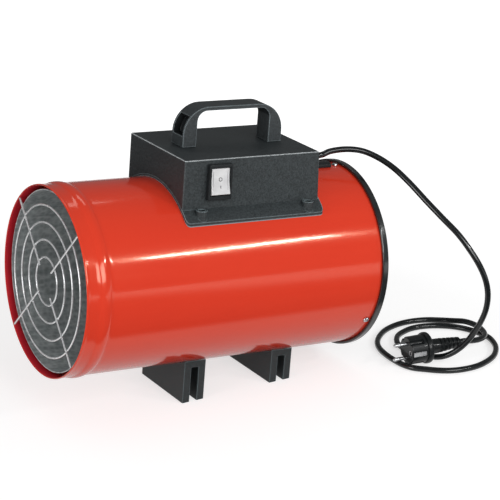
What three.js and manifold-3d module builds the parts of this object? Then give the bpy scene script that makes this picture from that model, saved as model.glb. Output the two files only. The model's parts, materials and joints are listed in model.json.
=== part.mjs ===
// A portable gas-fired forced air heater: a red sheet-steel tube on two channel feet,
// a galvanised inner tube with the burner, a fan behind it, and a black control box
// with a carrying handle on top. Millimetres, +Z up, the air leaves at -X.
import * as THREE from 'three';
import { mergeVertices } from 'three/addons/utils/BufferGeometryUtils.js';
import { RoundedBoxGeometry } from 'three/addons/geometries/RoundedBoxGeometry.js';
import Module from 'manifold-3d';

const wasm = await Module();
wasm.setup();

// ---------------------------------------------------------------- driving sizes

const CLEARANCE = 0.3;

// Stance: the outlet is tipped up on the taller front foot.
const TILT = THREE.MathUtils.degToRad(5);
const RIM_ABOVE_FLOOR = 56;

// Outer casing.
const CASING_RADIUS = 115;
const CASING_WALL = 1.2;
const CASING_LENGTH = 406;
const CASING_SEGMENTS = 48;
const RIM_LENGTH = 3.6;
const RIM_PROUD = 0.5;
const BEAD_START = 17;
const BEAD_WIDTH = 15;
const BEAD_PROUD = 2;
// Tabs and arms stop this far from the round wall that they hold to, which is faceted.
const TAB_GAP = 0.6;

// Inner tube that holds the flame.
const INNER_GAP = 5.3;
const INNER_WALL = 1;
const INNER_START = 7;
const INNER_OVERRUN = 12;
const INNER_LIP = 0.5;
const INNER_LIP_LENGTH = 1.6;
const INNER_SEGMENTS = 40;
const SPACER_WIDTH = 12;
const SPACER_LENGTH = 14;
const SPACER_ROOT = 0.5;
const FRONT_SPACER_INSET = 33;
const REAR_SPACER_INSET = 18;
const SPACER_ANGLES = [60, 180, 300];

// Outlet grille and rear fan guard, both of welded wire.
const WIRE_SIDES = 5;
const RING_SEGMENTS = 24;
const SPOKE_SIDES = 6;
// Rings lie on their spokes and are welded into them by this share of the wire.
const WELD_SHARE = 0.8;
const GRILLE_WIRE = 2.6;
const GRILLE_RINGS = 4;
const GRILLE_PITCH = 20.7;
const GRILLE_EDGE_GAP = 22.9;
const GRILLE_SPOKE_X = 1.5;
const GRILLE_SPOKE_OVERRUN = 6.8;
const GRILLE_SPOKE_ANGLES = [45, 135, 225, 315];
const GUARD_WIRE = 2.8;
const GUARD_RINGS = 4;
const GUARD_CENTRE_RADIUS = 30;
const GUARD_EDGE_GAP = 5.3;
const GUARD_INSET = 9.5;
const GUARD_SPOKE_ANGLES = [30, 90, 150];
const GUARD_TAB_LENGTH = 10;
const GUARD_TAB_WIDTH = 12;
const GUARD_TAB_ROOT = 0.5;
const GUARD_SCREW_ANGLES = [0, 120, 240];

// Black edge trim on the casing's rear edge.
const TRIM_OUTER_WALL = 3.8;
const TRIM_INNER_WALL = 2.7;
const TRIM_WEB = 4;
const TRIM_LIP = 4;
const TRIM_CHAMFER = 1.4;

// Fan and motor.
const FAN_INSET = 94;
const FAN_TIP_GAP = 13.8;
const FAN_HUB_RADIUS = 17;
const FAN_HUB_LENGTH = 20;
const FAN_BLADES = 5;
const BLADE_CHORD = 40;
const BLADE_ROOT_CHORD = 25.6;
const BLADE_ROOT = 3;
const BLADE_TIP_ROUND = 10;
const BLADE_THICKNESS = 2;
const BLADE_PITCH = THREE.MathUtils.degToRad(34);
const SHAFT_RADIUS = 4;
const SHAFT_OVERRUN = 2;
const SHAFT_END_GAP = 1;
const MOTOR_OFFSET = 20;
const MOTOR_LENGTH = 50;
const MOTOR_RADIUS = 38;
const MOTOR_FRONT_RADIUS = 19;
const MOTOR_FRONT_LENGTH = 4;
const MOTOR_REAR_RADIUS = 22.8;
const MOTOR_REAR_LENGTH = 5;
const MOTOR_BORE_DEPTH = 12;
const MOTOR_SEGMENTS = 28;
const BRACKET_OFFSET = 18;
const BRACKET_WIDTH = 12;
const BRACKET_WALL = 3;
const BRACKET_ARM_WIDTH = 12;
const BRACKET_ARM_ANGLES = [60, 180, 300];

// Burner, ahead of the gas pipe that drops from the valve.
const BURNER_SETBACK = 22;
const BURNER_LENGTH = 72;
const BURNER_MOUTH_LENGTH = 16;
const BURNER_RADIUS = 50;
const BURNER_BACK_RADIUS = 23;
const BURNER_WALL = 1.2;
const BURNER_HOLES = 8;
const BURNER_HOLE_RADIUS = 5;
const SPIDER_WALL = 2.5;
const SPIDER_RADIUS = 26;
const SPIDER_ARM_WIDTH = 12;
const SPIDER_ARM_ROOT = 3;
const SPIDER_ARM_ANGLES = [0, 120, 240];
const NOZZLE_RADIUS = 6.9;
const NOZZLE_TIP_RADIUS = 3.45;
const NOZZLE_TIP_LENGTH = 3;
const NOZZLE_REACH = 8;
const NOZZLE_HEX_RADIUS = 9;
const NOZZLE_HEX_LENGTH = 8.4;
const PROBE_OFFSET = 16;
const PROBE_RADIUS = 3.4;
const PROBE_LENGTH = 34;
const PROBE_TIP_LENGTH = 16;
const PROBE_BEHIND = 16;
const SPARK_TIP_RADIUS = 1.2;
const SENSOR_TIP_RADIUS = 2;
const PIPE_RADIUS = 4;
const PIPE_HOLE_MARGIN = 1;
const LEAD_RADIUS = 1.6;
const LEAD_HOLE_RADIUS = 3.2;
const LEAD_OFFSET = 13;

// Control box: it stands on the crown, and its inner pieces are set out from its rear wall.
const BOX_REAR_INSET = 80.5;
const BOX_LENGTH = 185.1;
const BOX_WIDTH = 138.8;
const BOX_HEIGHT = 40.4;
const BOX_WALL = 2.5;
const BOX_CORNER = 3;
const REAR_DRAFT = THREE.MathUtils.degToRad(3.6);
const FLANGE_LEDGE = 14.6;
const FLANGE_THICKNESS = 3;
const FLANGE_OVERHANG = 0.4;
const FLANGE_CORNER = 7;
const FRONT_BOSS_INSET = 22.6;
const REAR_BOSS_INSET = 15.5;
const BOSS_OFFSET = 6.9;
const BOSS_RADIUS = 7;
const BOSS_HEIGHT = 10.06;
const BOSS_SEAT_HEIGHT = 3.56;
const BOSS_POCKET_RADIUS = 4.4;

// Handle.
const HANDLE_LENGTH = 137;
const HANDLE_OFFSET = 2.1;
const HANDLE_WIDTH = 28.5;
const HANDLE_HEIGHT = 48.8;
const HANDLE_GRIP = 5;
const HANDLE_LEG = 18.5;
const HANDLE_OUTER_RADIUS = 34;
const HANDLE_INNER_RADIUS = 13;
const HANDLE_SLOT_WIDTH = 22.5;
const HANDLE_SLOT_DEPTH = 10;
const HANDLE_SLOT_BOTTOM = 14;
const HANDLE_SLOT_END = THREE.MathUtils.degToRad(138);
const HANDLE_PILOT_DEPTH = 11;

// Rocker switch on the near wall.
const SWITCH_INSET = 139.1;
const SWITCH_DROP = 27;
const BEZEL_WIDTH = 31.6;
const BEZEL_HEIGHT = 43.4;
const BEZEL_PROUD = 7;
const SWITCH_BODY_WIDTH = 28.6;
const SWITCH_BODY_HEIGHT = 38.6;
const SWITCH_BODY_DEPTH = 22;
const SWITCH_WELL_DEPTH = 14;
const ROCKER_WIDTH = 24.4;
const ROCKER_HALF_HEIGHT = 16.8;
const ROCKER_PIVOT_DEPTH = 6.4;
const ROCKER_REST = THREE.MathUtils.degToRad(10);

// Push buttons on the far wall.
const VALVE_BUTTON_INSET = 40.5;
const IGNITER_BUTTON_INSET = 93.5;
const BUTTON_DROP = 29.4;
const VALVE_BUTTON_RADIUS = 9;
const IGNITER_BUTTON_RADIUS = 6;
const BUTTON_REACH = 9;
const BUTTON_CHAMFER = 1.2;
const GUIDE_WALL = 3;
const GUIDE_RIM = 3;
const GUIDE_CHAMFER = 1;
const GUIDE_FLOOR = 2;
const GUIDE_DEPTH = 22;

// Gas valve over the crown, and its inlet through the rear wall.
const PIPE_INSET = 35.5;
const VALVE_LENGTH = 34;
const VALVE_HEIGHT = 20;
const VALVE_RISE = 9;
const VALVE_LEAD_MARGIN = 2.7;
const VALVE_GUIDE_GAP = 1.1;
const INLET_Y = 32;
const INLET_RISE = 9.7;
const INLET_RADIUS = 8.3;
const INLET_LENGTH = 24;
const INLET_HEX_RADIUS = 10.5;
const INLET_HEX_LENGTH = 7;
const INLET_NECK = 6.2;
const INLET_BORE = 3.7;
const INLET_BORE_START = 4;

// Terminal block under the roof, and a thermostat on the crown.
const BLOCK_INSET = 100.5;
const BLOCK_Y = -12;
const BLOCK_LENGTH = 38;
const BLOCK_WIDTH = 20;
const BLOCK_HEIGHT = 14;
const THERMOSTAT_INSET = 120.5;
const THERMOSTAT_RADIUS = 12;
const THERMOSTAT_BASE = 5;
const THERMOSTAT_STEM_RADIUS = 6;
const THERMOSTAT_HEIGHT = 9;

// Cable entry.
const GLAND_Y = -15;
const GLAND_DROP = 25.4;
const GLAND_RADIUS = 10;
const GLAND_CHAMFER = 2;
const GLAND_NECK = 7.6;
const GLAND_BORE = 3;
const GLAND_INSIDE = 9;
const GLAND_NUT_LENGTH = 5;
const GLAND_LENGTH = 10;
const SLEEVE_START = 0.4;
const SLEEVE_LENGTH = 22;
const SLEEVE_RADIUS = 6.6;
const SLEEVE_COLLAR = 3;
const SLEEVE_END_RADIUS = 4.2;
const SLEEVE_LIFT = THREE.MathUtils.degToRad(4.4);
const CORD_DIAMETER = 7.6;
const CORD_SIDES = 8;
const LOOP_SIDES = 6;

// Wire cover on the casing's crown, between the box and the rear.
const BRIDGE_WIDTH = 16;
const BRIDGE_HEIGHT = 6.2;
const BRIDGE_SHOULDER = 3.2;
const BRIDGE_OVERRUN = 14;
const MOTOR_LEAD_INSET = 40;
const MOTOR_LEAD_RADIUS = 2;
const MOTOR_LEAD_HOLE = 5;
const CHANNEL_MARGIN = 1;
const CHANNEL_HEADROOM = 0.9;
const CHANNEL_OVERRUN = 5;

// Feet: channels that run across under the tube.
const FOOT_SPAN = 107;
const FOOT_LEG = 9.8;
const FOOT_GAP = 9.8;
const FOOT_WEB = 8;
const REAR_FOOT_INSET = 100;
const FOOT_SPACING = 123.5;
const FOOT_SCREW_Y = 30;
const FOOT_SCREW_STANDOFF = 1.4;

// Screws.
const SCREW_RADIUS = 2;
const SCREW_HEAD_RADIUS = 3.8;
const SCREW_CROWN_RADIUS = 2.66;
const SCREW_HEAD_HEIGHT = 2.6;
const SCREW_POINT = 1.5;
const BOX_SCREW_LENGTH = 9.5;
const FOOT_SCREW_LENGTH = 12;
const GUARD_SCREW_LENGTH = 9;
const HANDLE_SCREW_LENGTH = 13;

// Plug: where its face lies on the floor, and the usual sizes of an earthed plug.
const PLUG_FACE = [252, -95.4];
const PLUG_TURN = THREE.MathUtils.degToRad(173);
const PLUG_RADIUS = 18.2;
const PLUG_EDGE = 1;
const PLUG_BODY_LENGTH = 22;
const PLUG_COLLAR_RADIUS = 20.5;
const PLUG_COLLAR_LENGTH = 9;
const PLUG_COLLAR_SLOPE = 1.5;
const PLUG_LENGTH = 75.6;
const PLUG_NECK_LENGTH = 12;
const PLUG_TAIL_RADIUS = 9.6;
const PLUG_TIP_RADIUS = 6.4;
const PLUG_RIBS = 4;
const PLUG_RIB_DEPTH = 1.2;
const GROOVE_WIDTH = 7;
const GROOVE_DEPTH = 2.6;
const GROOVE_INSET = 4;
const PIN_RADIUS = 2.4;
const PIN_TIP_RADIUS = 1.2;
const PIN_TIP_LENGTH = 1.5;
const PIN_LENGTH = 19;
const PIN_SPACING = 19;
const PIN_ROOT = 8;
const PIN_ROOT_GAP = 1;
const EARTH_OFFSET = 10;
const EARTH_BORE = 2.4;
const EARTH_WALL = 1;
const EARTH_DEPTH = 13;
const EARTH_CLIP_WIDTH = 6;
const EARTH_CLIP_THICKNESS = 1;
const EARTH_SLOT_END = 3;
const EARTH_SLOT_DEPTH = 1.4;

// Cord: one continuous route from the sleeve to the plug.
const CORD_FALL = [
  [182, -16, 276], [203, -21, 277], [222, -29, 274], [238, -41, 266], [252, -56, 254],
  [263, -76, 238], [272, -99, 220], [281, -121, 203], [292, -141, 185], [301, -154, 167],
  [310, -164, 147], [318, -167, 127], [323, -166, 108], [326, -160, 86], [326, -151, 66],
  [324, -140, 47], [319, -129, 29], [311, -119, 16], [303, -110, 8.5], [296, -101, 5],
];
const CORD_LOOPS = [
  [291, -92, 4], [286, -81, 4], [280, -68, 4], [277, -54, 4], [280, -35, 4], [294, -15, 4],
  [313, -5, 4], [328, -2, 4], [344, -4, 4], [360, -11, 4], [377, -25, 4], [389, -45, 4],
  [394, -65, 4], [395, -78, 4], [391, -94, 4], [382, -112, 4], [365, -131, 4], [347, -142, 4],
  [325, -149, 4], [305, -149, 4], [289, -145, 4], [275, -137, 4], [263, -126, 4], [250, -112, 4],
  [245, -97, 4], [244, -79, 4], [245, -61, 4], [249, -40, 4], [257, -22, 4], [270, -6, 4],
  [289, 9, 4], [308, 17, 4], [327, 20, 4], [346, 18, 4], [361, 12, 4.2], [374, 1, 5],
  [383, -14, 7.5], [390, -32, 11.2], [392, -53, 13.2], [389, -71, 13.8], [382, -87, 14.4],
  [371, -98, 15.4], [358, -104, 17], [346, -106, 19],
];

// ---------------------------------------------------------------- derived places

const COS_TILT = Math.cos(TILT);
const SIN_TILT = Math.sin(TILT);
const CASING_BORE = CASING_RADIUS - CASING_WALL;
const SEAT_RADIUS = CASING_RADIUS + CLEARANCE;
const AXIS_HEIGHT = CASING_RADIUS + RIM_ABOVE_FLOOR;
const INNER_RADIUS = CASING_BORE - INNER_GAP;
const INNER_BORE = INNER_RADIUS - INNER_WALL;
const TRIM_END = CASING_LENGTH + CLEARANCE + TRIM_WEB;
const TRIM_RADIUS = SEAT_RADIUS + TRIM_OUTER_WALL;
const TRIM_BORE = CASING_BORE - CLEARANCE - TRIM_INNER_WALL;
const GUARD_X = CASING_LENGTH - GUARD_INSET;
const FAN_X = CASING_LENGTH - FAN_INSET;
const FAN_RADIUS = CASING_BORE - FAN_TIP_GAP;
const MOTOR_FRONT = FAN_X + MOTOR_OFFSET;
const BRACKET_X = MOTOR_FRONT + BRACKET_OFFSET;
const MOTOR_LEAD_X = MOTOR_FRONT + MOTOR_LEAD_INSET;
const BRIDGE_END = MOTOR_LEAD_X + BRIDGE_OVERRUN;
const REAR_FOOT_X = CASING_LENGTH - REAR_FOOT_INSET;
const FRONT_FOOT_X = REAR_FOOT_X - FOOT_SPACING;

const BOX_REAR = CASING_LENGTH - BOX_REAR_INSET;
const BOX_FRONT = BOX_REAR - BOX_LENGTH;
const BOX_TOP = CASING_RADIUS + BOX_HEIGHT;
const BOX_ROOF = BOX_TOP - BOX_WALL - CLEARANCE;
const NEAR_WALL_Y = -BOX_WIDTH / 2;
const FAR_WALL_Y = BOX_WIDTH / 2;
const FLANGE_WIDTH = BOX_WIDTH + 2 * FLANGE_LEDGE;
const BOSS_X = [BOX_FRONT + FRONT_BOSS_INSET, BOX_REAR - REAR_BOSS_INSET];
const BOSS_Y = BOX_WIDTH / 2 + BOSS_OFFSET;
const BOSS_FOOT = seatHeight(BOSS_Y);
const BOSS_TOP = BOSS_FOOT + BOSS_HEIGHT;
const BOSS_SEAT = BOSS_FOOT + BOSS_SEAT_HEIGHT;
// Below the flange's edges: the box's blanks start here and are cut by the tube.
const BOX_ROOT = seatHeight(FLANGE_WIDTH / 2) - 3 * FLANGE_THICKNESS;
const HANDLE_FRONT = BOX_FRONT + (BOX_LENGTH - HANDLE_LENGTH) / 2 + HANDLE_OFFSET;
const SWITCH_X = BOX_REAR - SWITCH_INSET;
const SWITCH_Z = BOX_TOP - SWITCH_DROP;
const VALVE_BUTTON_X = BOX_REAR - VALVE_BUTTON_INSET;
const IGNITER_BUTTON_X = BOX_REAR - IGNITER_BUTTON_INSET;
const BUTTON_Z = BOX_TOP - BUTTON_DROP;
const GUIDE_BACK = FAR_WALL_Y - GUIDE_DEPTH;
const BLOCK_X = BOX_REAR - BLOCK_INSET;
const THERMOSTAT_X = BOX_REAR - THERMOSTAT_INSET;
const GLAND_Z = BOX_TOP - GLAND_DROP;
const CHANNEL_WIDTH = 2 * (MOTOR_LEAD_RADIUS + CHANNEL_MARGIN);
const CHANNEL_TOP = CASING_RADIUS + 2 * MOTOR_LEAD_RADIUS + CHANNEL_HEADROOM;

const PIPE_X = BOX_REAR - PIPE_INSET;
const VALVE_BOTTOM = SEAT_RADIUS + VALVE_RISE;
const VALVE_NEAR_Y = -LEAD_OFFSET - VALVE_LEAD_MARGIN;
const VALVE_FAR_Y = GUIDE_BACK - VALVE_GUIDE_GAP;
const INLET_Z = VALVE_BOTTOM + INLET_RISE;
const BURNER_BACK = PIPE_X - BURNER_SETBACK;
const INNER_END = BURNER_BACK + INNER_OVERRUN;

// The heater's own box in X runs from the outlet's lower rim to the trim's upper edge.
const FOREMOST_X = -CASING_RADIUS * SIN_TILT;
const REARMOST_X = TRIM_END * COS_TILT + TRIM_RADIUS * SIN_TILT;
const CENTRE_SHIFT = (FOREMOST_X + REARMOST_X) / 2;
const PLUG_AXIS_HEIGHT = PLUG_COLLAR_RADIUS + CLEARANCE;

// Height of the casing's seat at a distance from the middle plane.
function seatHeight(y) {
  return Math.sqrt((CASING_RADIUS + CLEARANCE) ** 2 - y ** 2);
}

// X of the rear wall's outer face at a height above the tube's axis.
function rearWallX(z) {
  return BOX_REAR + (BOX_TOP - z) * Math.tan(REAR_DRAFT);
}

// ---------------------------------------------------------------- materials

function finish(color, roughness, metalness) {
  return new THREE.MeshStandardMaterial({ color, roughness, metalness });
}

const MATERIALS = {
  redPaint: finish(0xe03c28, 0.28, 0.1),
  galvanised: finish(0x8d9594, 0.45, 0.85),
  brightWire: finish(0xc9ccce, 0.25, 0.95),
  blackWire: finish(0x1b1d1e, 0.45, 0.3),
  blackTrim: finish(0x16181a, 0.35, 0),
  boxPlastic: finish(0x33393c, 0.6, 0),
  footPlastic: finish(0x2c3234, 0.65, 0),
  darkPlastic: finish(0x151819, 0.45, 0),
  whiteRocker: finish(0xf0f0ee, 0.2, 0),
  redButton: finish(0xb3231c, 0.35, 0),
  zinc: finish(0xbfc3c6, 0.3, 0.9),
  brass: finish(0xb48d3e, 0.35, 0.9),
  burnerSteel: finish(0x6f6a66, 0.5, 0.8),
  aluminium: finish(0xa9adb0, 0.4, 0.9),
  fanPlastic: finish(0x24282a, 0.5, 0),
  ceramic: finish(0xeae6dc, 0.35, 0),
  copper: finish(0xb06a45, 0.35, 0.9),
  leadRubber: finish(0x1c1f20, 0.5, 0),
  cordRubber: finish(0x1a1d1e, 0.4, 0),
  plugRubber: finish(0x191c1d, 0.5, 0),
  nickel: finish(0xd2d3d1, 0.22, 0.95),
};

// ---------------------------------------------------------------- solid helpers

// Shared vertices, no empty triangles, faces pointing out.
function weld(geometry) {
  const bare = geometry.clone();
  for (const name of Object.keys(bare.attributes)) {
    if (name !== 'position') bare.deleteAttribute(name);
  }
  const merged = mergeVertices(bare, 1e-4);
  const source = merged.index.array;
  const index = [];
  for (let i = 0; i < source.length; i += 3) {
    const [a, b, c] = [source[i], source[i + 1], source[i + 2]];
    if (a !== b && b !== c && c !== a) index.push(a, b, c);
  }
  merged.setIndex(index);
  if (volume(merged) < 0) merged.setIndex(index.reverse());
  return merged;
}

function volume(geometry) {
  const position = geometry.attributes.position;
  const index = geometry.index.array;
  const [a, b, c] = [new THREE.Vector3(), new THREE.Vector3(), new THREE.Vector3()];
  let sum = 0;
  for (let i = 0; i < index.length; i += 3) {
    a.fromBufferAttribute(position, index[i]);
    b.fromBufferAttribute(position, index[i + 1]);
    c.fromBufferAttribute(position, index[i + 2]);
    sum += a.dot(b.cross(c));
  }
  return sum / 6;
}

function toSolid(geometry) {
  const welded = weld(geometry);
  return new wasm.Manifold(new wasm.Mesh({
    numProp: 3,
    vertProperties: Float32Array.from(welded.attributes.position.array),
    triVerts: Uint32Array.from(welded.index.array),
  }));
}

function toGeometry(solid) {
  const mesh = solid.getMesh();
  const geometry = new THREE.BufferGeometry();
  geometry.setAttribute('position', new THREE.BufferAttribute(mesh.vertProperties, 3));
  geometry.setIndex(new THREE.BufferAttribute(mesh.triVerts, 1));
  return geometry;
}

function join(...geometries) {
  return toGeometry(geometries.map(toSolid).reduce((whole, next) => whole.add(next)));
}

function cut(geometry, ...tools) {
  return toGeometry(tools.map(toSolid).reduce((rest, tool) => rest.subtract(tool), toSolid(geometry)));
}

function common(first, second) {
  return toGeometry(toSolid(first).intersect(toSolid(second)));
}

// Turns about X, then Y, then Z, and then moves.
function placed(geometry, [x, y, z], [rx, ry, rz] = [0, 0, 0]) {
  const turn = new THREE.Euler(rx, ry, rz, 'ZYX');
  const matrix = new THREE.Matrix4().makeRotationFromEuler(turn).setPosition(x, y, z);
  return geometry.clone().applyMatrix4(matrix);
}

// Angle 0 points up from the tube's axis, and grows towards the near side.
function around(geometry, degrees) {
  return geometry.clone().rotateX(THREE.MathUtils.degToRad(degrees));
}

function block(sizeX, sizeY, sizeZ, centre) {
  return placed(new THREE.BoxGeometry(sizeX, sizeY, sizeZ), centre);
}

// A solid of revolution about X from [x, radius] points.
function turned(profile, segments) {
  const points = profile.map(([x, radius]) => new THREE.Vector2(radius, x));
  return new THREE.LatheGeometry(points, segments).rotateZ(-Math.PI / 2);
}

// The same with a profile that closes on itself, for rings and tubes.
function turnedRing(profile, segments) {
  return turned([...profile, profile[0]], segments);
}

function rodX(radius, start, end, sides, y = 0, z = 0) {
  const rod = new THREE.CylinderGeometry(radius, radius, end - start, sides);
  return placed(rod.rotateZ(-Math.PI / 2), [(start + end) / 2, y, z]);
}

function rodY(radius, start, end, sides, x = 0, z = 0) {
  const rod = new THREE.CylinderGeometry(radius, radius, end - start, sides);
  return placed(rod, [x, (start + end) / 2, z]);
}

function rodZ(radius, start, end, sides, x = 0, y = 0) {
  const rod = new THREE.CylinderGeometry(radius, radius, end - start, sides);
  return placed(rod.rotateX(Math.PI / 2), [x, y, (start + end) / 2]);
}

// The tube's outline at a radius, in step with the casing's facets.
function tubeCore(radius, start, end) {
  return rodX(radius, start, end, CASING_SEGMENTS);
}

function wireRing(radius, wire, x) {
  const ring = new THREE.TorusGeometry(radius, wire / 2, WIRE_SIDES, RING_SEGMENTS);
  return placed(ring.rotateY(Math.PI / 2), [x, 0, 0]);
}

function extruded(shape, depth, curveSegments = 8) {
  return new THREE.ExtrudeGeometry(shape, { depth, bevelEnabled: false, curveSegments });
}

// A flat shape in the XZ plane, pushed across from -width/2 to width/2.
function acrossY(shape, width) {
  return extruded(shape, width).rotateX(Math.PI / 2).translate(0, width / 2, 0);
}

function polygon(radius, sides) {
  const corners = Array.from({ length: sides }, (_, i) => {
    const angle = ((i + 0.5) * 2 * Math.PI) / sides;
    return new THREE.Vector2(radius * Math.cos(angle), radius * Math.sin(angle));
  });
  return new THREE.Shape(corners);
}

function tubeAlong(curve, radius, sides, steps) {
  const settings = { steps, extrudePath: curve, bevelEnabled: false };
  return new THREE.ExtrudeGeometry(polygon(radius, sides), settings);
}

function smoothCurve(points) {
  return new THREE.CatmullRomCurve3(points.map((point) => new THREE.Vector3(...point)), false, 'centripetal');
}

// ---------------------------------------------------------------- assembly

const heaterGroup = new THREE.Group();
const tubeGroup = new THREE.Group();
tubeGroup.position.set(-CENTRE_SHIFT, 0, AXIS_HEIGHT);
tubeGroup.rotation.y = TILT;
heaterGroup.add(tubeGroup);

function addPiece(name, geometry, material, parent = tubeGroup) {
  const welded = weld(geometry);
  welded.computeVertexNormals();
  const mesh = new THREE.Mesh(welded, MATERIALS[material]);
  mesh.name = name;
  parent.add(mesh);
  return mesh;
}

function subGroup(parent, position, rotation = [0, 0, 0]) {
  const group = new THREE.Group();
  group.position.set(...position);
  group.rotation.set(...rotation);
  parent.add(group);
  return group;
}

// ---------------------------------------------------------------- casing and inner tube

// Vertical screw places in the box's flanges and in the feet.
function boxScrewPlaces() {
  return BOSS_X.flatMap((x) => [[x, -BOSS_Y], [x, BOSS_Y]]);
}

function footScrewPlaces() {
  return [FRONT_FOOT_X, REAR_FOOT_X].flatMap((x) => [[x, -FOOT_SCREW_Y], [x, FOOT_SCREW_Y]]);
}

function casingTube() {
  const beadMiddle = BEAD_START + BEAD_WIDTH / 2;
  const beadEnd = BEAD_START + BEAD_WIDTH;
  const shoulder = BEAD_WIDTH / 4;
  const outer = [
    [0, CASING_RADIUS],
    [RIM_LENGTH / 2, CASING_RADIUS + RIM_PROUD],
    [RIM_LENGTH, CASING_RADIUS],
    [BEAD_START, CASING_RADIUS],
    [BEAD_START + shoulder, CASING_RADIUS + BEAD_PROUD],
    [beadEnd - shoulder, CASING_RADIUS + BEAD_PROUD],
    [beadEnd, CASING_RADIUS],
    [CASING_LENGTH, CASING_RADIUS],
  ];
  const inner = [
    [CASING_LENGTH, CASING_BORE],
    [beadEnd, CASING_BORE],
    [beadMiddle, CASING_BORE + BEAD_PROUD],
    [BEAD_START, CASING_BORE],
    [0, CASING_BORE],
  ];
  const shell = turnedRing([...outer, ...inner], CASING_SEGMENTS);
  const screwHole = SCREW_RADIUS + CLEARANCE;
  const guardHoles = GUARD_SCREW_ANGLES.map((angle) => (
    around(rodZ(screwHole, CASING_BORE - 5, CASING_RADIUS + 5, 8, GUARD_X), angle)
  ));
  const boxHoles = boxScrewPlaces().map(([x, y]) => rodZ(screwHole, BOX_ROOT, BOX_TOP, 8, x, y));
  const footHoles = footScrewPlaces().map(([x, y]) => (
    rodZ(screwHole, -AXIS_HEIGHT, -seatHeight(FOOT_SCREW_Y) + 10, 8, x, y)
  ));
  const crownHoles = [
    [PIPE_RADIUS + PIPE_HOLE_MARGIN, PIPE_X, 0],
    [LEAD_HOLE_RADIUS, PIPE_X, LEAD_OFFSET],
    [LEAD_HOLE_RADIUS, PIPE_X, -LEAD_OFFSET],
    [MOTOR_LEAD_HOLE, MOTOR_LEAD_X, 0],
  ].map(([radius, x, y]) => rodZ(radius, CASING_BORE - 8, CASING_RADIUS + 5, 10, x, y));
  addPiece('casing_tube', cut(shell, ...guardHoles, ...boxHoles, ...footHoles, ...crownHoles), 'redPaint');
}

function innerTube() {
  const profile = [
    [INNER_START, INNER_RADIUS + INNER_LIP],
    [INNER_START + INNER_LIP_LENGTH, INNER_RADIUS],
    [INNER_END, INNER_RADIUS],
    [INNER_END, INNER_BORE],
    [INNER_START, INNER_BORE],
  ];
  const shell = turnedRing(profile, INNER_SEGMENTS);
  const spacerOut = CASING_BORE - TAB_GAP;
  const spacerIn = INNER_BORE + SPACER_ROOT;
  const spacer = block(SPACER_LENGTH, SPACER_WIDTH, spacerOut - spacerIn, [0, 0, (spacerOut + spacerIn) / 2]);
  const stations = [INNER_START + FRONT_SPACER_INSET, INNER_END - REAR_SPACER_INSET];
  const spacers = stations.flatMap((x) => (
    SPACER_ANGLES.map((angle) => around(placed(spacer, [x, 0, 0]), angle))
  ));
  addPiece('inner_tube', join(shell, ...spacers), 'galvanised');
}

// ---------------------------------------------------------------- grilles and trim

function outletGrille() {
  const outermost = CASING_BORE - GRILLE_EDGE_GAP;
  const innermost = outermost - (GRILLE_RINGS - 1) * GRILLE_PITCH;
  const ringX = GRILLE_SPOKE_X + GRILLE_WIRE * WELD_SHARE;
  const rings = Array.from({ length: GRILLE_RINGS }, (_, i) => (
    wireRing(innermost + i * GRILLE_PITCH, GRILLE_WIRE, ringX)
  ));
  const spokeStart = innermost - GRILLE_SPOKE_OVERRUN;
  const spoke = rodZ(GRILLE_WIRE / 2, spokeStart, CASING_BORE - TAB_GAP, SPOKE_SIDES, GRILLE_SPOKE_X);
  const spokes = GRILLE_SPOKE_ANGLES.map((angle) => around(spoke, angle));
  addPiece('outlet_grille', join(...rings, ...spokes), 'brightWire');
}

function rearGuard() {
  const outermost = CASING_BORE - GUARD_EDGE_GAP;
  const pitch = (outermost - GUARD_CENTRE_RADIUS) / (GUARD_RINGS - 1);
  const rings = Array.from({ length: GUARD_RINGS }, (_, i) => (
    wireRing(GUARD_CENTRE_RADIUS + i * pitch, GUARD_WIRE, GUARD_X)
  ));
  const spoke = rodZ(GUARD_WIRE / 2, -outermost, outermost, SPOKE_SIDES, GUARD_X + GUARD_WIRE * WELD_SHARE);
  const spokes = GUARD_SPOKE_ANGLES.map((angle) => around(spoke, angle));
  const tabIn = outermost - GUARD_TAB_ROOT;
  const tabOut = CASING_BORE - TAB_GAP;
  const tabMiddle = [GUARD_X, 0, (tabIn + tabOut) / 2];
  const tab = block(GUARD_TAB_LENGTH, GUARD_TAB_WIDTH, tabOut - tabIn, tabMiddle);
  const hole = rodZ(SCREW_RADIUS + CLEARANCE, tabIn - 5, tabOut + 2, 12, GUARD_X);
  const tabs = GUARD_SCREW_ANGLES.map((angle) => around(tab, angle));
  const holes = GUARD_SCREW_ANGLES.map((angle) => around(hole, angle));
  addPiece('rear_guard', cut(join(...rings, ...spokes, ...tabs), ...holes), 'blackWire');
}

function rearTrim() {
  const webStart = CASING_LENGTH + CLEARANCE;
  const innerLip = CASING_BORE - CLEARANCE;
  const profile = [
    [TRIM_END, TRIM_BORE],
    [TRIM_END, TRIM_RADIUS - TRIM_CHAMFER],
    [TRIM_END - TRIM_CHAMFER, TRIM_RADIUS],
    [webStart - TRIM_LIP, TRIM_RADIUS],
    [webStart - TRIM_LIP, SEAT_RADIUS],
    [webStart, SEAT_RADIUS],
    [webStart, innerLip],
    [webStart - TRIM_LIP, innerLip],
    [webStart - TRIM_LIP, TRIM_BORE],
  ];
  addPiece('rear_edge_trim', turnedRing(profile, CASING_SEGMENTS), 'blackTrim');
}

// ---------------------------------------------------------------- fan and motor

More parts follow.
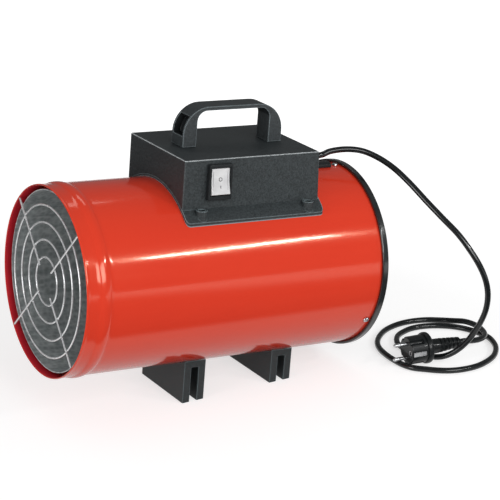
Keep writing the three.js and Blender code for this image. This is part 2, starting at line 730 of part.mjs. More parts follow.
function fanImpeller() {
  const hub = rodX(FAN_HUB_RADIUS, FAN_X - FAN_HUB_LENGTH / 2, FAN_X + FAN_HUB_LENGTH / 2, 24);
  const root = BLADE_ROOT_CHORD / 2;
  const tip = BLADE_CHORD / 2;
  const start = FAN_HUB_RADIUS - BLADE_ROOT;
  const shoulder = FAN_RADIUS - BLADE_TIP_ROUND;
  const outline = new THREE.Shape();
  outline.moveTo(-root, start);
  outline.lineTo(root, start);
  outline.lineTo(tip, shoulder);
  outline.quadraticCurveTo(tip * 0.8, FAN_RADIUS, 0, FAN_RADIUS);
  outline.quadraticCurveTo(-tip * 0.8, FAN_RADIUS, -tip, shoulder);
  outline.closePath();
  const flat = extruded(outline, BLADE_THICKNESS, 3);
  flat.translate(0, 0, -BLADE_THICKNESS / 2).rotateX(Math.PI / 2);
  const blade = placed(flat.rotateZ(BLADE_PITCH + Math.PI / 2), [FAN_X, 0, 0]);
  const blades = Array.from({ length: FAN_BLADES }, (_, i) => around(blade, (i * 360) / FAN_BLADES));
  const bore = rodX(SHAFT_RADIUS + CLEARANCE, FAN_X - FAN_HUB_LENGTH, FAN_X + FAN_HUB_LENGTH, 16);
  addPiece('fan_impeller', cut(join(hub, ...blades), bore), 'fanPlastic');
}

function motorShaft() {
  const start = FAN_X - FAN_HUB_LENGTH / 2 - SHAFT_OVERRUN;
  const end = MOTOR_FRONT + MOTOR_BORE_DEPTH - SHAFT_END_GAP;
  addPiece('motor_shaft', rodX(SHAFT_RADIUS, start, end, 16), 'zinc');
}

function motorBody() {
  const bore = SHAFT_RADIUS + CLEARANCE;
  const boreEnd = MOTOR_FRONT + MOTOR_BORE_DEPTH;
  const rear = MOTOR_FRONT + MOTOR_LENGTH;
  const profile = [
    [boreEnd, 0],
    [boreEnd, bore],
    [MOTOR_FRONT, bore],
    [MOTOR_FRONT, MOTOR_FRONT_RADIUS],
    [MOTOR_FRONT + MOTOR_FRONT_LENGTH, MOTOR_RADIUS],
    [rear - MOTOR_REAR_LENGTH, MOTOR_RADIUS],
    [rear, MOTOR_REAR_RADIUS],
    [rear, 0],
  ];
  addPiece('motor_body', turned(profile, MOTOR_SEGMENTS), 'aluminium');
}

function motorBracket() {
  const inside = MOTOR_RADIUS + CLEARANCE;
  const outside = inside + BRACKET_WALL;
  const end = BRACKET_X + BRACKET_WIDTH;
  const section = [[BRACKET_X, inside], [BRACKET_X, outside], [end, outside], [end, inside]];
  const band = turnedRing(section, MOTOR_SEGMENTS);
  const middleX = BRACKET_X + BRACKET_WIDTH / 2;
  const reach = CASING_BORE - TAB_GAP;
  const armStart = inside + BRACKET_WALL / 2;
  const arm = block(BRACKET_WALL, BRACKET_ARM_WIDTH, reach - armStart, [middleX, 0, (reach + armStart) / 2]);
  const pad = block(BRACKET_WIDTH, BRACKET_ARM_WIDTH, BRACKET_WALL, [middleX, 0, reach - BRACKET_WALL / 2]);
  const arms = BRACKET_ARM_ANGLES.flatMap((angle) => [around(arm, angle), around(pad, angle)]);
  addPiece('motor_bracket', join(band, ...arms), 'galvanised');
}

// ---------------------------------------------------------------- burner

function probeHoles(from, to) {
  return [1, -1].map((side) => rodX(PROBE_RADIUS + CLEARANCE, from, to, 12, side * PROBE_OFFSET));
}

function burnerCone() {
  const mouth = BURNER_BACK - BURNER_LENGTH;
  const coneEnd = mouth + BURNER_MOUTH_LENGTH;
  const profile = [
    [BURNER_BACK, NOZZLE_RADIUS + CLEARANCE],
    [BURNER_BACK, BURNER_BACK_RADIUS],
    [coneEnd, BURNER_RADIUS],
    [mouth, BURNER_RADIUS],
    [mouth, BURNER_RADIUS - BURNER_WALL],
    [coneEnd + BURNER_WALL / 4, BURNER_RADIUS - BURNER_WALL],
    [BURNER_BACK - BURNER_WALL, BURNER_BACK_RADIUS - BURNER_WALL],
    [BURNER_BACK - BURNER_WALL, NOZZLE_RADIUS + CLEARANCE],
  ];
  const cone = turnedRing(profile, 24);
  const holeX = (BURNER_BACK + coneEnd) / 2;
  const hole = rodZ(BURNER_HOLE_RADIUS, 5, BURNER_RADIUS + 10, 6, holeX);
  const holePitch = 360 / BURNER_HOLES;
  const holes = Array.from({ length: BURNER_HOLES }, (_, i) => around(hole, (i + 0.5) * holePitch));
  const ports = probeHoles(BURNER_BACK - 20, BURNER_BACK + 5);
  addPiece('burner_cone', cut(cone, ...holes, ...ports), 'burnerSteel');
}

function burnerSpider() {
  const start = BURNER_BACK + CLEARANCE;
  const end = start + SPIDER_WALL;
  const bore = NOZZLE_RADIUS + CLEARANCE;
  const plate = turnedRing([[start, bore], [start, SPIDER_RADIUS], [end, SPIDER_RADIUS], [end, bore]], 28);
  const reach = INNER_BORE - TAB_GAP;
  const armLength = reach - SPIDER_RADIUS + SPIDER_ARM_ROOT;
  const arm = block(SPIDER_WALL, SPIDER_ARM_WIDTH, armLength, [(start + end) / 2, 0, reach - armLength / 2]);
  const arms = SPIDER_ARM_ANGLES.map((angle) => around(arm, angle));
  addPiece('burner_spider', cut(join(plate, ...arms), ...probeHoles(start - 5, end + 5)), 'galvanised');
}

function gasNozzle() {
  const seat = BURNER_BACK + SPIDER_WALL + 2 * CLEARANCE;
  const tip = BURNER_BACK - NOZZLE_REACH;
  const profile = [
    [tip, 0],
    [tip, NOZZLE_TIP_RADIUS],
    [tip + NOZZLE_TIP_LENGTH, NOZZLE_RADIUS],
    [seat, NOZZLE_RADIUS],
    [seat, NOZZLE_HEX_RADIUS],
    [seat + NOZZLE_HEX_LENGTH, NOZZLE_HEX_RADIUS],
    [seat + NOZZLE_HEX_LENGTH, 0],
  ];
  addPiece('gas_nozzle', turned(profile, 12), 'brass');
  return seat + NOZZLE_HEX_LENGTH;
}

function gasPipe(nozzleEnd) {
  const start = nozzleEnd + CLEARANCE;
  const bend = PIPE_X - start;
  const route = new THREE.CurvePath();
  route.add(new THREE.QuadraticBezierCurve3(
    new THREE.Vector3(start, 0, 0),
    new THREE.Vector3(PIPE_X, 0, 0),
    new THREE.Vector3(PIPE_X, 0, bend),
  ));
  route.add(new THREE.LineCurve3(
    new THREE.Vector3(PIPE_X, 0, bend),
    new THREE.Vector3(PIPE_X, 0, VALVE_BOTTOM - CLEARANCE),
  ));
  addPiece('gas_pipe', tubeAlong(route, PIPE_RADIUS, 8, 14), 'copper');
}

// The spark electrode and the flame sensor are alike but for their tips.
function probe(name, side, tipRadius, material) {
  const rear = BURNER_BACK + PROBE_BEHIND;
  const front = rear - PROBE_LENGTH;
  const profile = [
    [front - PROBE_TIP_LENGTH, 0],
    [front - PROBE_TIP_LENGTH, tipRadius],
    [front, tipRadius],
    [front, PROBE_RADIUS],
    [rear, PROBE_RADIUS],
    [rear, 0],
  ];
  addPiece(name, placed(turned(profile, 10), [0, side * PROBE_OFFSET, 0]), material);
  return [rear + CLEARANCE, side * PROBE_OFFSET, 0];
}

// ---------------------------------------------------------------- control box

// Leans the rear wall out towards its foot, and leaves the front wall square.
function leanRearWall(geometry) {
  const position = geometry.attributes.position;
  for (let i = 0; i < position.count; i += 1) {
    const share = (position.getX(i) - BOX_FRONT) / BOX_LENGTH;
    const drop = BOX_TOP - position.getZ(i);
    position.setX(i, position.getX(i) + share * drop * Math.tan(REAR_DRAFT));
  }
  return geometry;
}

function boxBlock(inset, corner) {
  const height = BOX_TOP - inset - BOX_ROOT;
  const shape = new RoundedBoxGeometry(BOX_LENGTH - 2 * inset, BOX_WIDTH - 2 * inset, height, 2, corner);
  const middle = [BOX_FRONT + BOX_LENGTH / 2, 0, BOX_ROOT + height / 2];
  return leanRearWall(placed(shape, middle));
}

// The flange's rear edge is square, just behind the foot of the leaning wall.
function flangeRear() {
  return rearWallX(BOSS_FOOT) + FLANGE_OVERHANG;
}

function flangePlate() {
  const front = BOX_FRONT - FLANGE_OVERHANG;
  const rear = flangeRear();
  const half = FLANGE_WIDTH / 2;
  const corner = FLANGE_CORNER;
  const plan = new THREE.Shape();
  plan.moveTo(front, -half + corner);
  plan.absarc(front + corner, -half + corner, corner, Math.PI, 1.5 * Math.PI);
  plan.absarc(rear - corner, -half + corner, corner, 1.5 * Math.PI, 2 * Math.PI);
  plan.absarc(rear - corner, half - corner, corner, 0, 0.5 * Math.PI);
  plan.absarc(front + corner, half - corner, corner, 0.5 * Math.PI, Math.PI);
  plan.closePath();
  const column = extruded(plan, BOX_TOP - BOX_ROOT, 4).translate(0, 0, BOX_ROOT - 5);
  return common(column, tubeCore(SEAT_RADIUS + FLANGE_THICKNESS, front - 5, rear + 5));
}

function boxBosses() {
  return boxScrewPlaces().map(([x, y]) => rodZ(BOSS_RADIUS, BOX_ROOT, BOSS_TOP, 16, x, y));
}

// Openings in the box's walls and roof for what passes through them.
function wallOpenings() {
  const reach = 12;
  const switchHole = block(
    SWITCH_BODY_WIDTH + 2 * CLEARANCE, reach, SWITCH_BODY_HEIGHT + 2 * CLEARANCE,
    [SWITCH_X, NEAR_WALL_Y, SWITCH_Z],
  );
  const rearHoles = [
    [GLAND_Y, GLAND_Z, GLAND_NECK + CLEARANCE],
    [INLET_Y, INLET_Z, INLET_NECK + CLEARANCE],
  ].map(([y, z, radius]) => (
    placed(rodX(radius, -reach, reach, 20), [rearWallX(z), y, z], [0, -REAR_DRAFT, 0])
  ));
  const buttonHoles = [
    [VALVE_BUTTON_X, VALVE_BUTTON_RADIUS],
    [IGNITER_BUTTON_X, IGNITER_BUTTON_RADIUS],
  ].map(([x, radius]) => (
    rodY(radius + GUIDE_WALL + CLEARANCE, FAR_WALL_Y - reach, FAR_WALL_Y + reach, 20, x, BUTTON_Z)
  ));
  const leadNotch = block(2 * reach, CHANNEL_WIDTH, 2 * reach, [BOX_REAR, 0, CHANNEL_TOP - reach]);
  const screwHole = SCREW_RADIUS + CLEARANCE;
  const handleHoles = handleScrewXs().map((x) => rodZ(screwHole, BOX_TOP - reach, BOX_TOP + reach, 10, x));
  return [switchHole, ...rearHoles, ...buttonHoles, leadNotch, ...handleHoles];
}

// A pocket for each screw's head and a hole for its shank.
function bossHoles() {
  return boxScrewPlaces().flatMap(([x, y]) => [
    rodZ(BOSS_POCKET_RADIUS, BOSS_SEAT, BOX_TOP, 14, x, y),
    rodZ(SCREW_RADIUS + CLEARANCE, BOX_ROOT - 10, BOX_TOP, 10, x, y),
  ]);
}

function controlBox() {
  const inside = boxBlock(BOX_WALL, BOX_CORNER - 1);
  const blank = join(boxBlock(0, BOX_CORNER), flangePlate(), ...boxBosses());
  const hollow = cut(blank, inside, tubeCore(SEAT_RADIUS, 0, CASING_LENGTH));
  addPiece('control_box', cut(hollow, ...wallOpenings(), ...bossHoles()), 'boxPlastic');
}

// ---------------------------------------------------------------- handle

function handleScrewXs() {
  return [HANDLE_FRONT + HANDLE_LEG / 2, HANDLE_FRONT + HANDLE_LENGTH - HANDLE_LEG / 2];
}

function handleOutline() {
  const rear = HANDLE_FRONT + HANDLE_LENGTH;
  const base = BOX_TOP + CLEARANCE;
  const top = BOX_TOP + HANDLE_HEIGHT;
  const under = top - HANDLE_GRIP;
  const [big, small] = [HANDLE_OUTER_RADIUS, HANDLE_INNER_RADIUS];
  const outline = new THREE.Shape();
  outline.moveTo(HANDLE_FRONT, base);
  outline.lineTo(HANDLE_FRONT, top - big);
  outline.absarc(HANDLE_FRONT + big, top - big, big, Math.PI, Math.PI / 2, true);
  outline.absarc(rear - big, top - big, big, Math.PI / 2, 0, true);
  outline.lineTo(rear, base);
  outline.lineTo(rear - HANDLE_LEG, base);
  outline.lineTo(rear - HANDLE_LEG, under - small);
  outline.absarc(rear - HANDLE_LEG - small, under - small, small, 0, Math.PI / 2);
  outline.absarc(HANDLE_FRONT + HANDLE_LEG + small, under - small, small, Math.PI / 2, Math.PI);
  outline.lineTo(HANDLE_FRONT + HANDLE_LEG, base);
  outline.closePath();
  return outline;
}

// The hollow in a leg's outer face: it follows the big corner at a set depth.
function handleSlot() {
  const top = BOX_TOP + HANDLE_HEIGHT;
  const bottom = BOX_TOP + HANDLE_SLOT_BOTTOM;
  const deep = HANDLE_OUTER_RADIUS - HANDLE_SLOT_DEPTH;
  const centreX = HANDLE_FRONT + HANDLE_OUTER_RADIUS;
  const centreZ = top - HANDLE_OUTER_RADIUS;
  const upper = HANDLE_SLOT_END;
  const outline = new THREE.Shape();
  outline.moveTo(HANDLE_FRONT - 5, bottom);
  outline.lineTo(HANDLE_FRONT + HANDLE_SLOT_DEPTH, bottom);
  outline.lineTo(HANDLE_FRONT + HANDLE_SLOT_DEPTH, centreZ);
  outline.absarc(centreX, centreZ, deep, Math.PI, upper, true);
  const outside = HANDLE_OUTER_RADIUS + 8;
  outline.lineTo(centreX + outside * Math.cos(upper), centreZ + outside * Math.sin(upper));
  outline.lineTo(HANDLE_FRONT - 5, centreZ + outside * Math.sin(upper));
  outline.closePath();
  return acrossY(outline, HANDLE_SLOT_WIDTH);
}

function handle() {
  const middle = HANDLE_FRONT + HANDLE_LENGTH / 2;
  const slot = handleSlot();
  const mirrored = slot.clone().translate(-middle, 0, 0).scale(-1, 1, 1).translate(middle, 0, 0);
  const pilots = handleScrewXs().map((x) => (
    rodZ(SCREW_RADIUS + CLEARANCE, BOX_TOP - 5, BOX_TOP + HANDLE_PILOT_DEPTH, 12, x)
  ));
  const bow = acrossY(handleOutline(), HANDLE_WIDTH);
  addPiece('carrying_handle', cut(bow, slot, mirrored, ...pilots), 'boxPlastic');
}

// ---------------------------------------------------------------- rocker switch

function switchHousing() {
  const bezelFront = NEAR_WALL_Y - BEZEL_PROUD;
  const bezelBack = NEAR_WALL_Y - CLEARANCE;
  const bezel = block(
    BEZEL_WIDTH, bezelBack - bezelFront, BEZEL_HEIGHT,
    [SWITCH_X, (bezelFront + bezelBack) / 2, SWITCH_Z],
  );
  const bodyBack = NEAR_WALL_Y + SWITCH_BODY_DEPTH;
  const body = block(
    SWITCH_BODY_WIDTH, bodyBack - bezelFront - 1, SWITCH_BODY_HEIGHT,
    [SWITCH_X, (bodyBack + bezelFront + 1) / 2, SWITCH_Z],
  );
  const well = block(
    ROCKER_WIDTH + 2 * CLEARANCE, 2 * SWITCH_WELL_DEPTH, 2 * (ROCKER_HALF_HEIGHT + CLEARANCE),
    [SWITCH_X, bezelFront, SWITCH_Z],
  );
  addPiece('switch_housing', cut(join(bezel, body), well), 'darkPlastic');
}

// Drawn about its pivot: the first number points out of the wall, the second up.
function rocker() {
  const tip = ROCKER_HALF_HEIGHT;
  const outline = new THREE.Shape();
  const corners = [
    [5.2, 0], [6.6, -tip + 1.4], [4.5, -tip + 0.6], [0, -tip], [-5, -tip + 4],
    [-5, tip - 4], [0, tip], [4.5, tip - 0.6], [6.6, tip - 1.4],
  ];
  corners.forEach(([out, up], i) => (i ? outline.lineTo(out, up) : outline.moveTo(out, up)));
  outline.closePath();
  const solid = extruded(outline, ROCKER_WIDTH);
  // The shape's X goes to -Y, its Y to +Z and its depth to -X.
  solid.translate(0, 0, -ROCKER_WIDTH / 2).rotateX(Math.PI / 2).rotateZ(-Math.PI / 2);
  const mesh = addPiece('switch_rocker', solid, 'whiteRocker');
  mesh.position.set(SWITCH_X, NEAR_WALL_Y - BEZEL_PROUD + ROCKER_PIVOT_DEPTH, SWITCH_Z);
  mesh.rotation.x = -ROCKER_REST;
}

// ---------------------------------------------------------------- buttons, valve and gas inlet

// A sprung plunger in a guide that is clamped through the far wall.
function pushButton(name, x, radius, material) {
  const bore = radius + CLEARANCE;
  const barrel = radius + GUIDE_WALL;
  const flange = barrel + GUIDE_RIM;
  const flangeBack = FAR_WALL_Y + CLEARANCE;
  const flangeFace = flangeBack + GUIDE_RIM;
  const floor = GUIDE_BACK + GUIDE_FLOOR;
  const profile = [
    [GUIDE_BACK, 0],
    [GUIDE_BACK, barrel],
    [flangeBack, barrel],
    [flangeBack, flange],
    [flangeFace - GUIDE_CHAMFER, flange],
    [flangeFace, flange - GUIDE_CHAMFER],
    [flangeFace, bore],
    [floor, bore],
    [floor, 0],
  ];
  const guide = turned(profile, 24).rotateZ(Math.PI / 2);
  addPiece(`${name}_guide`, placed(guide, [x, 0, BUTTON_Z]), 'darkPlastic');
  const plungerEnd = flangeFace + BUTTON_REACH;
  const start = floor + BUTTON_REACH;
  const plunger = turned([
    [start, 0],
    [start, radius],
    [plungerEnd - BUTTON_CHAMFER, radius],
    [plungerEnd, radius - BUTTON_CHAMFER],
    [plungerEnd, 0],
  ], 24).rotateZ(Math.PI / 2);
  addPiece(`${name}_button`, placed(plunger, [x, 0, BUTTON_Z]), material);
}

function gasValve() {
  const middle = [PIPE_X, (VALVE_NEAR_Y + VALVE_FAR_Y) / 2, VALVE_BOTTOM + VALVE_HEIGHT / 2];
  addPiece('gas_valve', block(VALVE_LENGTH, VALVE_FAR_Y - VALVE_NEAR_Y, VALVE_HEIGHT, middle), 'brass');
}

function gasInlet() {
  const wallPoint = [rearWallX(INLET_Z), INLET_Y, INLET_Z];
  const valveRear = PIPE_X + VALVE_LENGTH / 2;
  const inside = valveRear + CLEARANCE + INLET_NECK * Math.sin(REAR_DRAFT) - rearWallX(INLET_Z);
  const profile = [
    [inside, 0],
    [inside, INLET_NECK],
    [CLEARANCE, INLET_NECK],
    [CLEARANCE, INLET_HEX_RADIUS],
    [INLET_HEX_LENGTH, INLET_HEX_RADIUS],
    [INLET_HEX_LENGTH, INLET_RADIUS],
    [INLET_LENGTH, INLET_RADIUS],
    [INLET_LENGTH, INLET_BORE],
    [INLET_BORE_START, INLET_BORE],
    [INLET_BORE_START, 0],
  ];
  const group = subGroup(tubeGroup, wallPoint, [0, -REAR_DRAFT, 0]);
  addPiece('gas_inlet', turned(profile, 18), 'brass', group);
}

function boxInside() {
  const blockMiddle = [BLOCK_X, BLOCK_Y, BOX_ROOF - BLOCK_HEIGHT / 2];
  addPiece('terminal_block', block(BLOCK_LENGTH, BLOCK_WIDTH, BLOCK_HEIGHT, blockMiddle), 'ceramic');
  const thermostat = turned([
    [0, 0],
    [0, THERMOSTAT_RADIUS],
    [THERMOSTAT_BASE, THERMOSTAT_RADIUS],
    [THERMOSTAT_BASE, THERMOSTAT_STEM_RADIUS],
    [THERMOSTAT_HEIGHT, THERMOSTAT_STEM_RADIUS],
    [THERMOSTAT_HEIGHT, 0],
  ], 20).rotateY(-Math.PI / 2);
  addPiece('overheat_thermostat', placed(thermostat, [THERMOSTAT_X, 0, SEAT_RADIUS]), 'zinc');
}

// ---------------------------------------------------------------- inner wiring

// Each lead runs through a few points that are set out from what it joins or passes.
function addLead(name, points, radius, steps) {
  addPiece(name, tubeAlong(smoothCurve(points), radius, 5, steps), 'leadRubber');
}

// A point between two others, pushed aside by an offset.
function between(from, to, share, [dx, dy, dz] = [0, 0, 0]) {
  const mixed = from.map((value, i) => value + (to[i] - value) * share);
  return [mixed[0] + dx, mixed[1] + dy, mixed[2] + dz];
}

// A probe's lead leaves straight and then climbs beside the gas pipe.
function probeRise(probeEnd, side) {
  const probeY = side * PROBE_OFFSET;
  const pipeSide = side * LEAD_OFFSET;
  return [
    probeEnd,
    [PIPE_X - 2 * LEAD_RADIUS, probeY, 0.2],
    [PIPE_X - 0.6, probeY, 2 * LEAD_RADIUS],
    [PIPE_X, pipeSide, CASING_RADIUS / 3],
    [PIPE_X, pipeSide, CASING_BORE - 5],
  ];
}

function ignitionLead(electrodeEnd) {
  const underValve = [PIPE_X - VALVE_LENGTH / 2 + 3, LEAD_OFFSET + 5, VALVE_BOTTOM - 3.8];
  const buttonBack = [IGNITER_BUTTON_X, GUIDE_BACK - CLEARANCE, BUTTON_Z];
  const behindButton = between(buttonBack, buttonBack, 0, [0, -6, 0]);
  addLead('ignition_lead', [
    ...probeRise(electrodeEnd, 1),
    [PIPE_X - 2, LEAD_OFFSET + 1, VALVE_BOTTOM - 5.3],
    underValve,
    between(underValve, behindButton, 0.4),
    between(underValve, behindButton, 0.77),
    behindButton,
    buttonBack,
  ], LEAD_RADIUS, 28);
}

function sensorLead(sensorEnd) {
  const valveUnderside = [PIPE_X, -LEAD_OFFSET, VALVE_BOTTOM - CLEARANCE];
  addLead('flame_sensor_lead', [...probeRise(sensorEnd, -1), valveUnderside], LEAD_RADIUS, 16);
}

// From under the terminal block, past the valve, through the wire cover and down to the motor.
function motorLead() {
  const crown = SEAT_RADIUS + MOTOR_LEAD_RADIUS;
  const blockUnderside = [BLOCK_X + BLOCK_LENGTH / 3, BLOCK_Y - 2, BOX_ROOF - BLOCK_HEIGHT - CLEARANCE];
  const belowBlock = between(blockUnderside, blockUnderside, 0, [0, 0, -4]);
  const besideValve = [PIPE_X - 10, VALVE_NEAR_Y - 10.3, crown - 0.3];
  const inCover = [BOX_REAR, 0, crown];
  addLead('motor_lead', [
    blockUnderside,
    belowBlock,
    between(belowBlock, besideValve, 0.12, [0, -1, -4.8]),
    between(belowBlock, besideValve, 0.48, [0, -3, -5.6]),
    besideValve,
    between(besideValve, inCover, 0.5, [0, -6, 0.6]),
    between(besideValve, inCover, 0.8, [0, -1.5, 0.3]),
    inCover,
    between(inCover, [MOTOR_LEAD_X, 0, crown], 0.5),
    [MOTOR_LEAD_X - 3 * MOTOR_LEAD_RADIUS, 0, crown],
    [MOTOR_LEAD_X - MOTOR_LEAD_RADIUS / 2, 0, crown - 1.6],
    [MOTOR_LEAD_X, 0, crown - 3 * MOTOR_LEAD_RADIUS],
    [MOTOR_LEAD_X, 0, (crown + MOTOR_RADIUS) / 2],
    [MOTOR_LEAD_X, 0, MOTOR_RADIUS + CLEARANCE],
  ], MOTOR_LEAD_RADIUS, 34);
}

// From the gland, over the valve's near edge, to the terminal block's rear end.
function supplyLead() {
  const glandBack = [rearWallX(GLAND_Z) - GLAND_INSIDE - 3.4, GLAND_Y, GLAND_Z - 0.8];
  const blockRear = [BLOCK_X + BLOCK_LENGTH / 2 + CLEARANCE, BLOCK_Y, BOX_ROOF - 6.6];
  addLead('supply_lead', [
    glandBack,
    between(glandBack, blockRear, 0.09, [0, -2.3, 0.3]),
    between(glandBack, blockRear, 0.22, [0, -7.7, 5.2]),
    between(glandBack, blockRear, 0.43, [0, -7.8, 8.5]),
    between(glandBack, blockRear, 0.63, [0, -5.9, 6.4]),
    between(glandBack, blockRear, 0.83, [0, 0, 2.8]),
    blockRear,
  ], MOTOR_LEAD_RADIUS, 12);
}

function switchLead() {
  const switchBack = [SWITCH_X, NEAR_WALL_Y + SWITCH_BODY_DEPTH + CLEARANCE, SWITCH_Z];
  const blockFront = [BLOCK_X - BLOCK_LENGTH / 2 - CLEARANCE, BLOCK_Y, BOX_ROOF - 7.6];
  addLead('switch_lead', [
    switchBack,
    between(switchBack, blockFront, 0, [1, 8, 0]),
    between(switchBack, blockFront, 0.28, [-0.8, 15.3, 1]),
    between(switchBack, blockFront, 0.55, [-1, 14.8, 5.5]),
    between(switchBack, blockFront, 0.76, [0, 8.4, 4]),
    blockFront,
  ], MOTOR_LEAD_RADIUS, 10);
}

// ---------------------------------------------------------------- wire cover

function wireCover() {
  const start = flangeRear() + CLEARANCE;
  const top = CASING_RADIUS + BRIDGE_HEIGHT;
  const half = BRIDGE_WIDTH / 2;
  const root = seatHeight(half) - 4;
  const shoulder = top - BRIDGE_SHOULDER;
  const section = new THREE.Shape();
  section.moveTo(-half, root);
  section.lineTo(-half, shoulder);
  section.quadraticCurveTo(-half + 0.6, top, 0, top);
  section.quadraticCurveTo(half - 0.6, top, half, shoulder);
  section.lineTo(half, root);
  section.closePath();
  // The section's X goes to +Y, its Y to +Z and its depth to +X.
  const bar = extruded(section, BRIDGE_END - start, 5);
  bar.rotateX(Math.PI / 2).rotateZ(Math.PI / 2).translate(start, 0, 0);
  const channelStart = start - 10;
  const channelEnd = MOTOR_LEAD_X + CHANNEL_OVERRUN;
  const channelHeight = CHANNEL_TOP - root + 5;
  const channel = block(channelEnd - channelStart, CHANNEL_WIDTH, channelHeight, [
    (channelStart + channelEnd) / 2, 0, CHANNEL_TOP - channelHeight / 2,
  ]);
  addPiece('wire_cover', cut(bar, channel, tubeCore(SEAT_RADIUS, 0, CASING_LENGTH)), 'darkPlastic');
}

// ---------------------------------------------------------------- feet

// Height of the floor below the tube's axis, in the tube's own frame, at an X along it.
function floorBelow(x) {
  return (x * SIN_TILT - AXIS_HEIGHT) / COS_TILT;
}

function foot(name, x) {
  const outline = new THREE.Shape();
  const half = FOOT_LEG + FOOT_GAP / 2;
  outline.moveTo(x - half, floorBelow(x - half));
  outline.lineTo(x + half, floorBelow(x + half));
  const top = 10 - seatHeight(FOOT_SPAN / 2);
  outline.lineTo(x + half, top);
  outline.lineTo(x - half, top);
  outline.closePath();
  const slab = acrossY(outline, FOOT_SPAN);
  const gapSlab = block(FOOT_GAP, FOOT_SPAN + 10, AXIS_HEIGHT, [x, 0, top - AXIS_HEIGHT / 2]);
  const gap = cut(gapSlab, tubeCore(SEAT_RADIUS + FOOT_WEB, x - 2 * half, x + 2 * half));
  const holes = footScrewPlaces().map(([screwX, screwY]) => (
    rodZ(SCREW_RADIUS + CLEARANCE, -AXIS_HEIGHT, top, 8, screwX, screwY)
  ));
  addPiece(name, cut(slab, gap, tubeCore(SEAT_RADIUS, 0, CASING_LENGTH), ...holes), 'footPlastic');
}

// ---------------------------------------------------------------- screws

// A pan-head screw with its seat at 0 and its point towards -Z.
function screwGeometry(length) {
  const profile = [
    [-length, 0],
    [-length + SCREW_POINT, SCREW_RADIUS],
    [0, SCREW_RADIUS],
    [0, SCREW_HEAD_RADIUS],
    [SCREW_HEAD_HEIGHT, SCREW_CROWN_RADIUS],
    [SCREW_HEAD_HEIGHT, 0],
  ];
  return turned(profile, 8).rotateY(-Math.PI / 2);
}

function screws() {
  boxScrewPlaces().forEach(([x, y], i) => {
    const mesh = addPiece(`box_screw_${i + 1}`, screwGeometry(BOX_SCREW_LENGTH), 'zinc');
    mesh.position.set(x, y, BOSS_SEAT + CLEARANCE);
  });
  const webHeight = Math.sqrt((SEAT_RADIUS + FOOT_WEB) ** 2 - FOOT_SCREW_Y ** 2);
  footScrewPlaces().forEach(([x, y], i) => {
    const mesh = addPiece(`foot_screw_${i + 1}`, screwGeometry(FOOT_SCREW_LENGTH), 'zinc');
    mesh.position.set(x, y, -webHeight - FOOT_SCREW_STANDOFF);
    mesh.rotation.x = Math.PI;
  });
  GUARD_SCREW_ANGLES.forEach((angle, i) => {
    const holder = subGroup(tubeGroup, [GUARD_X, 0, 0], [THREE.MathUtils.degToRad(angle), 0, 0]);
    const mesh = addPiece(`guard_screw_${i + 1}`, screwGeometry(GUARD_SCREW_LENGTH), 'zinc', holder);
    mesh.position.z = SEAT_RADIUS;
  });
  handleScrewXs().forEach((x, i) => {
    const mesh = addPiece(`handle_screw_${i + 1}`, screwGeometry(HANDLE_SCREW_LENGTH), 'zinc');
    mesh.position.set(x, 0, BOX_ROOF);
    mesh.rotation.x = Math.PI;
  });
}

// ---------------------------------------------------------------- cable entry, cord and plug

function cableEntry() {
  const wallPoint = [rearWallX(GLAND_Z), GLAND_Y, GLAND_Z];
  const group = subGroup(tubeGroup, wallPoint, [0, -REAR_DRAFT, 0]);
  const gland = turnedRing([
    [-GLAND_INSIDE, GLAND_BORE],
    [-GLAND_INSIDE, GLAND_NECK],
    [CLEARANCE, GLAND_NECK],
    [CLEARANCE, GLAND_RADIUS],
    [GLAND_NUT_LENGTH, GLAND_RADIUS],
    [GLAND_LENGTH, GLAND_RADIUS - GLAND_CHAMFER],
    [GLAND_LENGTH, GLAND_BORE],
  ], 20);
  addPiece('cord_gland', gland, 'darkPlastic', group);
  const sleeveGroup = subGroup(group, [GLAND_LENGTH + CLEARANCE, 0, 0], [0, -SLEEVE_LIFT, 0]);
  const sleeve = turned([
    [SLEEVE_START, 0],
    [SLEEVE_START, SLEEVE_RADIUS],
    [SLEEVE_COLLAR, SLEEVE_RADIUS],
    [SLEEVE_LENGTH - 1, SLEEVE_END_RADIUS + 0.3],
    [SLEEVE_LENGTH, SLEEVE_END_RADIUS],
    [SLEEVE_LENGTH, 0],
  ], 16);
  addPiece('strain_relief', sleeve, 'darkPlastic', sleeveGroup);
  heaterGroup.updateMatrixWorld(true);
  const end = new THREE.Vector3(SLEEVE_LENGTH + CLEARANCE, 0, 0).applyMatrix4(sleeveGroup.matrixWorld);
  const ahead = new THREE.Vector3(SLEEVE_LENGTH + 8, 0, 0).applyMatrix4(sleeveGroup.matrixWorld);
  return [end, ahead];
}

function plugGroup() {
  return subGroup(heaterGroup, [...PLUG_FACE, PLUG_AXIS_HEIGHT], [0, 0, PLUG_TURN]);
}

